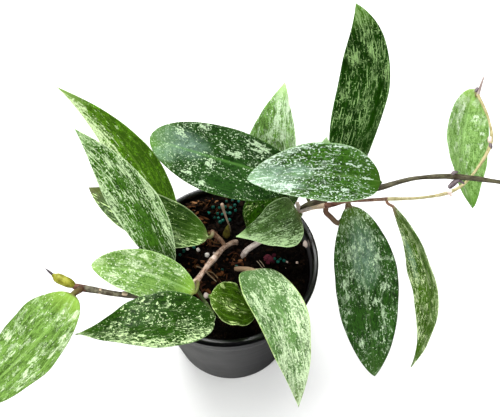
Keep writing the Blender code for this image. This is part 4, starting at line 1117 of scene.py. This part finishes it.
lumps, crumbs = soilBumps(soil["lumps"]), soilBumps(soil["crumbs"])


# height of the mix: a level top that climbs to the wall, most of all at one side, plus round lumps
# and small crumbs, each 1 less the squared distance over its size, times its rise
def soilHeight(x, y):
    reach = np.hypot(x, y)
    climb = np.clip((reach - soil["bankFrom"]) / (soil["edge"] - soil["bankFrom"]), 0, 1)
    mean, more = soil["bankRise"]
    side = np.clip(np.cos(np.arctan2(y, x) - soil["bankSide"]), 0, 1) ** 1.5
    bank = (mean + more * side) * climb ** 2 * (3 - 2 * climb)
    total = []
    for spots, sizes, rises in (lumps, crumbs):
        away = np.hypot(x[:, None] - spots[:, 0], y[:, None] - spots[:, 1])
        total.append((np.clip(1 - (away / sizes) ** 2, 0, 1) * rises).sum(axis=1))
    fade = np.clip((soil["edge"] - reach) / 5, 0, 1)
    return (mixTop + bank + np.clip(total[0], *soil["lumps"]["limits"]) * fade
            + np.clip(total[1], *soil["crumbs"]["limits"]) * np.sqrt(fade))


# rings of the top from the middle to the wall, their radius the ring's share to the power 0.8, then
# rings down the wall and under
def soilGrid():
    theta = np.linspace(0, 2 * math.pi, soil["sides"], endpoint=False)
    radius = soil["edge"] * np.linspace(0.01, 1, soil["rings"])[:, None] ** 0.8
    x, y = radius * np.cos(theta), radius * np.sin(theta)
    z = soilHeight(x.ravel(), y.ravel()).reshape(x.shape)
    spread = 1 + potSlope * (z - mixTop) * (radius / soil["edge"]) ** 4 / soil["edge"]
    grid = np.stack([x * spread, y * spread, z], axis=-1)
    wall = pot["baseRadius"] - pot["wall"] - soil["gap"]
    low = [(wall + potSlope * 40, 40.0), (wall + potSlope * 6, 6.0), (wall - 3.0, 2.8), (2.0, 2.8)]
    under = [np.stack([r * np.cos(theta), r * np.sin(theta), np.full_like(theta, h)], axis=-1)
             for r, h in low]
    return np.concatenate([grid, np.stack(under)])


# damp peat and bark dust: matt and nearly black, with brown specks and a rough, fibrous grain
def soilFinish():
    material, tree = newTree("potting_mix_damp")
    place = addNode(tree, "TexCoord", out="Object")
    coarse = addNode(tree, "TexNoise", {
        "Vector": place, "Scale": 1 / (soil["coarse"] * mm), "Detail": 5.0, "Roughness": 0.7})
    fibres = addNode(tree, "TexNoise", {
        "Vector": place, "Scale": 1 / (soil["fine"] * mm), "Detail": 2.0, "Roughness": 0.6})
    tone = addNode(tree, "MapRange", {"Value": coarse, "From Min": 0.45, "From Max": 0.75})
    colour = addNode(tree, "Mix", {
        0: tone, 6: hexColour(soil["dark"]), 7: hexColour(soil["brown"])}, data_type="RGBA", out=2)
    bump = addNode(tree, "Bump", {"Height": fibres, "Strength": 0.8, "Distance": 0.6 * mm})
    endTree(tree, {"Base Color": colour, "Roughness": 0.95, "IOR": 1.4, "Specular IOR Level": 0.15,
                   "Normal": bump})
    return material


finishPiece(closedSkin("mix_top", soilGrid(), soilFinish()), "potting_mix", "soil")


# a ball of rows x columns points with two poles
def ballShape(rows, cols):
    lat = np.linspace(0, math.pi, rows + 2)[1:-1, None]
    lon = np.linspace(0, 2 * math.pi, cols, endpoint=False)
    grid = np.stack([np.sin(lat) * np.cos(lon), np.sin(lat) * np.sin(lon), np.cos(lat) * np.ones(cols)],
                    axis=-1)
    points = np.vstack([grid.reshape(-1, 3), (0, 0, 1), (0, 0, -1)])
    return points, *gridFaces(rows, cols)


# many copies of one ball, each squared off by a power, dented by a seeded share, stretched, turned
# by roll, pitch and yaw and set down; tones has one value per copy
def strewn(name, shape, spots, sizes, turns, tones, dents, square, material, seed, smooth):
    points, quads, fans = shape
    dice = np.random.default_rng(seed)
    count = len(spots)
    blocky = np.sign(points) * np.abs(points) ** square
    copies = blocky[None] * (1 + dents * dice.uniform(-1, 1, (count, len(points), 1)))
    copies = copies * sizes[:, None]
    zero, one = np.zeros(count), np.ones(count)
    (cy, cp, cr), (sy, sp, sr) = np.cos(turns.T), np.sin(turns.T)  # of yaw, pitch and roll
    about = [
        np.array([[cy, -sy, zero], [sy, cy, zero], [zero, zero, one]]),
        np.array([[cp, zero, sp], [zero, one, zero], [-sp, zero, cp]]),
        np.array([[one, zero, zero], [zero, cr, -sr], [zero, sr, cr]]),
    ]
    turn = np.einsum("ijn,jkn,kln->nil", *about)
    placed = np.einsum("nil,nkl->nki", turn, copies) + spots[:, None]
    step = (np.arange(count) * len(points))[:, None, None]
    return makePiece(name, placed.reshape(-1, 3), (quads[None] + step).reshape(-1, 4),
                     (fans[None] + step).reshape(-1, 3), material,
                     {"tone": np.repeat(tones, len(points))}, smooth)


# plant litter: the shades of each kind from wet and dark to dry and pale, and the size in mm of
# the dark grain in them
litterShades = {
    "bark_chips_composted": ("#050303", "#0e0906", "#2e1c10", "#704426", "#b8845a"),
    "hoya_roots_and_coir": ("#24100e", "#46261e", "#5f4426", "#8f7048", "#c4b49c"),
    "inner_bark_red": ("#34101c", "#5f2434", "#8a4450"),
}
litterGrain = {"size": 1.667, "shade": "#080504"}


# matt, fibrous plant litter: each bit takes one of the shades by its tone, with darker grain in it
def litterFinish(name):
    material, tree = newTree(name)
    codes = litterShades[name]
    tone = addNode(tree, "Attribute", out="Fac", attribute_name="tone")
    place = addNode(tree, "TexCoord", out="Object")
    grain = addNode(tree, "TexNoise", {
        "Vector": place, "Scale": 1 / (litterGrain["size"] * mm), "Detail": 3.0, "Roughness": 0.6})
    ramp = addNode(tree, "ValToRGB", {0: tone})
    stops = ramp.node.color_ramp.elements
    for _ in codes[2:]:
        stops.new(0.5)
    for number, code in enumerate(codes):
        stops[number].position = number / (len(codes) - 1)
        stops[number].color = hexColour(code)
    shade = addNode(tree, "MapRange", dict(zip(rangeKeys, (grain, 0.3, 0.7, 0.6, 0))))
    colour = addNode(tree, "Mix", {0: shade, 6: ramp, 7: hexColour(litterGrain["shade"])},
                     data_type="RGBA", out=2)
    bump = addNode(tree, "Bump", {"Height": grain, "Strength": 0.6, "Distance": 0.3 * mm})
    endTree(tree, {"Base Color": colour, "Roughness": 0.9, "IOR": 1.4, "Specular IOR Level": 0.2,
                   "Normal": bump})
    return material


# random places on the mix, evenly over a disc about a middle point
def soilSpots(count, seed, reach, lift, middle=(0, 0)):
    dice = np.random.default_rng(seed)
    radius = reach * np.sqrt(dice.uniform(0, 1, count))
    theta = dice.uniform(0, 2 * math.pi, count)
    x, y = middle[0] + radius * np.cos(theta), middle[1] + radius * np.sin(theta)
    inside = np.minimum(1, (soil["edge"] - 2) / np.hypot(x, y))
    x, y = x * inside, y * inside
    return np.stack([x, y, soilHeight(x, y) + lift], axis=-1)


# the bits are paler and browner in these places (x, y, reach), and darker elsewhere
litter = [(-21, 42, 16), (-6, 48, 12), (-32, 33, 10), (-16, 2, 12), (-8, -3, 9), (-9, 22, 10),
          (-17, -14, 8), (5, 7, 9)]


# 1 in the middle of a litter place, falling to 0 with the square of the distance at its reach
def palerShare(spots):
    x, y, reach = np.array(litter, float).T
    away = ((spots[:, :1] - x) ** 2 + (spots[:, 1:2] - y) ** 2) / reach ** 2
    return np.clip(1 - away, 0, 1).max(axis=1)


# composted pine bark in broken chips and strips, and coir fibres: how many, their seed, reach and
# middle, half length, width as a share of it and height as a share of that, turn in the level, and
# tone outside litter
bits = {
    "bark_chips": dict(count=1200, seed=31, reach=48, middle=(0, 0), length=(0.5, 2.3), slim=(0.35, 0.65),
                       flat=(0.5, 1.0), yaw=(0, 6.3), dull=0.4),
    "coir_fibres": dict(count=650, seed=35, reach=48, middle=(0, 0), length=(1.4, 4.0), slim=(0.05, 0.09),
                        flat=(0.5, 1.0), yaw=(0, 6.3), dull=0.5),
    "bark_strips": dict(count=110, seed=38, reach=15, middle=(-19, 38), length=(1.8, 4.5), slim=(0.12, 0.3),
                        flat=(0.3, 0.6), yaw=(-0.5, 0.3), dull=0.7),
}


bitForm = {"tilt": 0.35, "dents": 0.28, "square": 0.7, "lift": 0.3}


# every kind of bit, strewn with seeded sizes and turns; its tone is a draw times a share that climbs from
# dull to 1 towards the middle of a paler place
def makeLitter():
    bark = litterFinish("bark_chips_composted")
    tilt = bitForm["tilt"]
    for name, kind in bits.items():
        count = kind["count"]
        dice = np.random.default_rng(kind["seed"])
        spots = soilSpots(count, kind["seed"] + 1, kind["reach"], bitForm["lift"], kind["middle"])
        length = dice.uniform(*kind["length"], count)
        width = length * dice.uniform(*kind["slim"], count)
        sizes = np.stack([length, width, width * dice.uniform(*kind["flat"], count)], axis=-1)
        turns = np.stack([dice.uniform(*kind["yaw"], count), dice.uniform(-tilt, tilt, count),
                          dice.uniform(-tilt, tilt, count)], axis=-1)
        tones = dice.uniform(0, 1, count) * (kind["dull"] + (1 - kind["dull"]) * palerShare(spots))
        piece = strewn(name, ballShape(3, 6), spots, sizes, turns, tones, bitForm["dents"],
                       bitForm["square"], bark, kind["seed"] + 2, False)
        finishPiece(piece, "potting_mix")


# roots and threads that the photo shows: points (x, y, height over the mix, radius) and a tone
rootLines = {
    "crossing": ([(-20, 4, 0.5, 0.45), (-15, 0, 2, 0.45), (-11, -4.5, 2, 0.4), (-7, -8, 0.5, 0.3)], 0.85),
    "crossing_low": ([(-12.5, -1, 1, 0.35), (-8.5, -4, 2.5, 0.35), (-3.5, -9, 0.8, 0.3)], 0.8),
    "loop_outer": ([(-16, -9, 2, 0.9), (-19, -12.5, 2.5, 1.0), (-18.5, -16.5, 2.5, 1.0),
                    (-14, -20.5, 1, 0.8)], 0.35),
    "loop_inner": ([(-14, -10.5, 3, 0.6), (-16, -13, 4, 0.6), (-15, -16, 3.5, 0.5)], 0.3),
    "coil_wide": ([(-11.4, 27, 2, 0.5), (-13.2, 22, 2.5, 0.5), (-11, 17, 2, 0.45), (-6, 14.5, 1.5, 0.4),
                   (-3, 15, 0.5, 0.3)], 0.35),
    "coil_tight": ([(-10, 25.5, 3, 0.45), (-10.8, 21, 3.5, 0.45), (-8, 17.5, 3, 0.4),
                    (-5, 17, 2, 0.35)], 0.5),
    "coil_back": ([(-9, 27.5, 1, 0.5), (-6.5, 25, 3, 0.5), (-7, 20, 3, 0.45), (-9, 16, 1, 0.4)], 0.3),
    "thread_left": ([(17.7, 4.5, 0.8, 0.25), (19.3, 1.8, 2.2, 0.22), (21.2, -0.5, 1, 0.15)], 1.0),
    "thread_right": ([(18.5, 6.5, 1, 0.22), (20.5, 3, 2.5, 0.22), (22, 0.8, 1, 0.15)], 0.95),
    "moss_back": ([(0, 10, 1, 0.35), (4, 12, 2.2, 0.3), (8, 9, 1.2, 0.25)], 0.3),
    "moss_middle": ([(1, 5, 1, 0.3), (4.5, 3.5, 2.2, 0.3), (9, 4.5, 1, 0.25)], 0.25),
    "moss_front": ([(4, 8, 1.5, 0.25), (3, 4, 2.8, 0.25), (6, 0, 1.2, 0.2)], 0.35),
}


# all the root lines as thin tubes over the mix, joined into one mesh
def makeRoots():
    skin = litterFinish("hoya_roots_and_coir")
    points, quads, fans, tones, start = [], [], [], [], 0
    for number, (route, tone) in enumerate(rootLines.values()):
        x, y, over, radius = np.array(route, float).T
        height = soilHeight(x, y) + over
        grid, _ = tubeGrid(np.stack([x, y, height, radius], axis=-1), 80 + number, 0.2, 8)
        sides, ends = gridFaces(*grid.shape[:2])
        points += [grid.reshape(-1, 3), grid[:1].mean(axis=1), grid[-1:].mean(axis=1)]
        quads.append(sides + start)
        fans.append(ends + start)
        tones.append(np.full(grid.shape[0] * grid.shape[1] + 2, tone))
        start += len(tones[-1])
    return makePiece("fine_roots", np.vstack(points), np.vstack(quads), np.vstack(fans), skin,
                     {"tone": np.concatenate(tones)})


# a wine red clump of inner bark, as (x, y, half length, half height) of its lumps; slim is their
# width as a share of their length
redBark = {
    "seed": 61,
    "slim": 0.7,
    "tilt": 0.3,
    "dents": 0.2,
    "square": 0.9,
    "lumps": [(25.7, 6.8, 2.6, 1.5), (22.8, 7.6, 1.7, 1.2), (28.2, 8.4, 1.6, 1.2), (24.4, 4.6, 1.8, 1.0),
              (27.4, 5.0, 1.5, 1.0), (24.6, 9.2, 1.6, 1.1)],
}


# the lumps as dented balls that rest on the mix, each half its height above it
def makeRedBark():
    x, y, half, rise = np.array(redBark["lumps"]).T
    count, tilt = len(x), redBark["tilt"]
    dice = np.random.default_rng(redBark["seed"])
    spots = np.stack([x, y, soilHeight(x, y) + rise / 2], axis=-1)
    turns = np.stack([dice.uniform(0, 6.3, count), dice.uniform(-tilt, tilt, count), np.zeros(count)],
                     axis=-1)
    sizes = np.stack([half, half * redBark["slim"], rise], axis=-1)
    return strewn("red_bark", ballShape(6, 10), spots, sizes, turns, dice.uniform(0, 1, count),
                  redBark["dents"], redBark["square"], litterFinish("inner_bark_red"),
                  redBark["seed"] + 1, False)


# perlite grains where the photo shows them (x, y, radius, stain), and small seeded ones between
perlite = {
    "seed": 41,
    "small": 24,
    "smallRadius": (0.2, 0.45),
    "smallStain": (0.5, 1.0),
    "uneven": (0.8, 1.15),
    "dents": 0.14,
    "square": 0.85,
    "pit": 0.667,  # size of a pit
    "fresh": "#f1ece4",
    "stained": "#c9a290",
    "grains": [(-24.7, 14.7, 1.1, 0.1), (-18.2, 14.5, 1.2, 0.2), (-12.7, 10.8, 1.4, 0.0),
               (-13.0, -17.5, 1.8, 0.4), (48.0, 14.2, 2.2, 0.5), (41.8, 2.2, 0.8, 0.7),
               (35.8, 3.1, 0.8, 0.6), (38.5, 4.0, 0.5, 0.8), (-8.6, 11.0, 0.6, 0.6),
               (-30.0, -2.0, 0.7, 0.5)],
}


# foamed volcanic glass: white, matt and pitted, stained by the mix where its tone is high
def perliteFinish():
    material, tree = newTree("perlite_expanded")
    place = addNode(tree, "TexCoord", out="Object")
    pits = addNode(tree, "TexNoise", {
        "Vector": place, "Scale": 1 / (perlite["pit"] * mm), "Detail": 2.0, "Roughness": 0.6})
    tone = addNode(tree, "Attribute", out="Fac", attribute_name="tone")
    colour = addNode(tree, "Mix", {
        0: tone, 6: hexColour(perlite["fresh"]), 7: hexColour(perlite["stained"])},
        data_type="RGBA", out=2)
    bump = addNode(tree, "Bump", {"Height": pits, "Strength": 0.6, "Distance": 0.3 * mm})
    endTree(tree, {"Base Color": colour, "Roughness": 0.9, "Normal": bump})
    return material


# grains as dented balls turned every way; a listed one's middle lies six tenths of its radius and
# 0.6 mm more above the mix
def makePerlite():
    extra = soilSpots(perlite["small"], perlite["seed"], soil["edge"] - 4, 0.1)
    dice = np.random.default_rng(perlite["seed"] + 1)
    x, y, radius, stain = np.array(perlite["grains"]).T
    spots = np.vstack([np.stack([x, y, soilHeight(x, y) + radius * 0.6 + 0.6], axis=-1), extra])
    radius = np.concatenate([radius, dice.uniform(*perlite["smallRadius"], len(extra))])
    tones = np.concatenate([stain, dice.uniform(*perlite["smallStain"], len(extra))])
    sizes = radius[:, None] * dice.uniform(*perlite["uneven"], (len(spots), 3))
    turns = dice.uniform(0, 6.3, (len(spots), 3))
    return strewn("perlite_grains", ballShape(6, 9), spots, sizes, turns, tones, perlite["dents"],
                  perlite["square"], perliteFinish(), perlite["seed"] + 2, True)


# feed beads where the photo shows them (x, y, and a tone that paints light and shade: low for a bead in
# shade, high for a bead in light), and a few seeded ones
feedBeads = {
    "seed": 51,
    "small": 8,
    "smallPaintedLight": (0.1, 0.35),
    "radius": (0.95, 1.25),
    "uneven": (0.95, 1.05),
    "lift": 0.7,
    "smallLift": 0.3,
    "reach": 44.0,
    # the colours of a bead in painted shade and of one in light
    "shadedTeal": "#031d18",
    "fresh": "#1f9682",
    "places": [(-11.7, 38.2, 1.0), (-6.0, 38.0, 0.4), (-4.7, 40.9, 0.35), (2.2, 40.7, 0.25),
               (7.3, 44.3, 0.25), (1.6, 37.7, 0.35), (-2.9, 34.2, 0.4), (-4.6, 32.9, 0.3),
               (-0.3, 44.6, 0.15), (4.8, 46.0, 0.15), (-8.8, 41.0, 0.2), (-8.4, 36.0, 0.25),
               (4.8, 42.2, 0.2), (-1.2, 41.3, 0.2), (-3.2, 37.4, 0.5), (8.4, 46.4, 0.15),
               (3.4, 44.6, 0.2), (-0.8, 38.0, 0.25), (-5.6, 35.4, 0.4), (5.2, 39.2, 0.2),
               (-20.8, 16.2, 0.4), (-29.3, 11.1, 0.2), (-27.0, 13.5, 0.2), (-22.5, 18.5, 0.2),
               (30.4, 4.1, 0.35), (34.1, 4.4, 0.4), (32.0, 5.8, 0.2), (28.5, 6.4, 0.2)],
}


# resin coated fertiliser: a smooth shell with a soft shine, by its tone from a dark teal, painted shade, to
# a bright teal where the bead is in light
def beadFinish():
    material, tree = newTree("coated_feed_bead")
    tone = addNode(tree, "Attribute", out="Fac", attribute_name="tone")
    colour = addNode(tree, "Mix", {
        0: tone, 6: hexColour(feedBeads["shadedTeal"]), 7: hexColour(feedBeads["fresh"])},
        data_type="RGBA", out=2)
    endTree(tree, {"Base Color": colour, "Roughness": 0.4, "IOR": 1.5})
    return material


# beads as nearly round balls that lie on the mix
def makeBeads():
    dice = np.random.default_rng(feedBeads["seed"])
    # the third value is the painted light and shade of each bead
    x, y, fresh = np.array(feedBeads["places"]).T
    extra = soilSpots(feedBeads["small"], feedBeads["seed"] + 1, feedBeads["reach"], feedBeads["smallLift"])
    spots = np.vstack([np.stack([x, y, soilHeight(x, y) + feedBeads["lift"]], axis=-1), extra])
    tones = np.concatenate([fresh, dice.uniform(*feedBeads["smallPaintedLight"], len(extra))])
    sizes = (dice.uniform(*feedBeads["radius"], (len(spots), 1))
             * dice.uniform(*feedBeads["uneven"], (len(spots), 3)))
    return strewn("feed_beads", ballShape(7, 12), spots, sizes, np.zeros((len(spots), 3)), tones, 0.0, 1.0,
                  beadFinish(), feedBeads["seed"] + 2, True)


makeLitter()
finishPiece(makeRoots(), "potting_mix")
finishPiece(makeRedBark(), "potting_mix")
finishPiece(makePerlite(), "potting_mix")
finishPiece(makeBeads(), "potting_mix")
print("potting mix made")


# studio: matt white paper under an even sky, with a large soft lamp overhead, one behind the left
# shoulder of the plant that shines on the lip, and two that lighten the front and the right
studio = {
    "floor": 6.0,
    "floorColour": "#fafafa",
    "sky": 0.54,
    "aim": (0.02, 0.02, 0.09),
    "lamps": {
        "overhead": dict(place=(-0.2, 0.75, 2.3), size=2.1, power=45.0, glossy=False),
        "back": dict(place=(-0.55, 1.4, 1.9), size=1.2, power=34.0, glossy=True),
        "front": dict(place=(-1.1, -1.7, 1.5), size=1.8, power=40.0, glossy=False),
        "right": dict(place=(1.9, 0.4, 1.7), size=1.4, power=12.0, glossy=False),
    },
}


# a square floor, a white sky that gloss doesn't mirror, and round lamps that face the aim
def makeStudio():
    half = studio["floor"] / 2
    mesh = bpy.data.meshes.new("floor")
    corners = [(-half, -half, 0), (half, -half, 0), (half, half, 0), (-half, half, 0)]
    mesh.from_pydata(corners, [], [(0, 1, 2, 3)])
    material, tree = newTree("paper_white_matt")
    endTree(tree, {"Base Color": hexColour(studio["floorColour"]), "Roughness": 0.9,
                   "Specular IOR Level": 0.1})
    mesh.materials.append(material)
    floor = bpy.data.objects.new("floor", mesh)
    bpy.context.scene.collection.objects.link(floor)
    floor.visible_glossy = False
    world = bpy.data.worlds.new("studio")
    world.use_nodes = True
    world.node_tree.nodes["Background"].inputs[0].default_value = (1, 1, 1, 1)
    world.node_tree.nodes["Background"].inputs[1].default_value = studio["sky"]
    world.cycles_visibility.glossy = False
    bpy.context.scene.world = world
    for name, lamp in studio["lamps"].items():
        data = bpy.data.lights.new(name, "AREA")
        data.shape = "DISK"
        data.size = lamp["size"]
        data.energy = lamp["power"]
        item = bpy.data.objects.new(name, data)
        bpy.context.scene.collection.objects.link(item)
        item.visible_glossy = lamp["glossy"]
        item.location = lamp["place"]
        toAim = Vector(studio["aim"]) - Vector(lamp["place"])
        item.rotation_euler = toAim.to_track_quat("-Z", "Y").to_euler()
    bpy.context.scene.view_settings.view_transform = "Standard"


makeStudio()
print("studio lit")
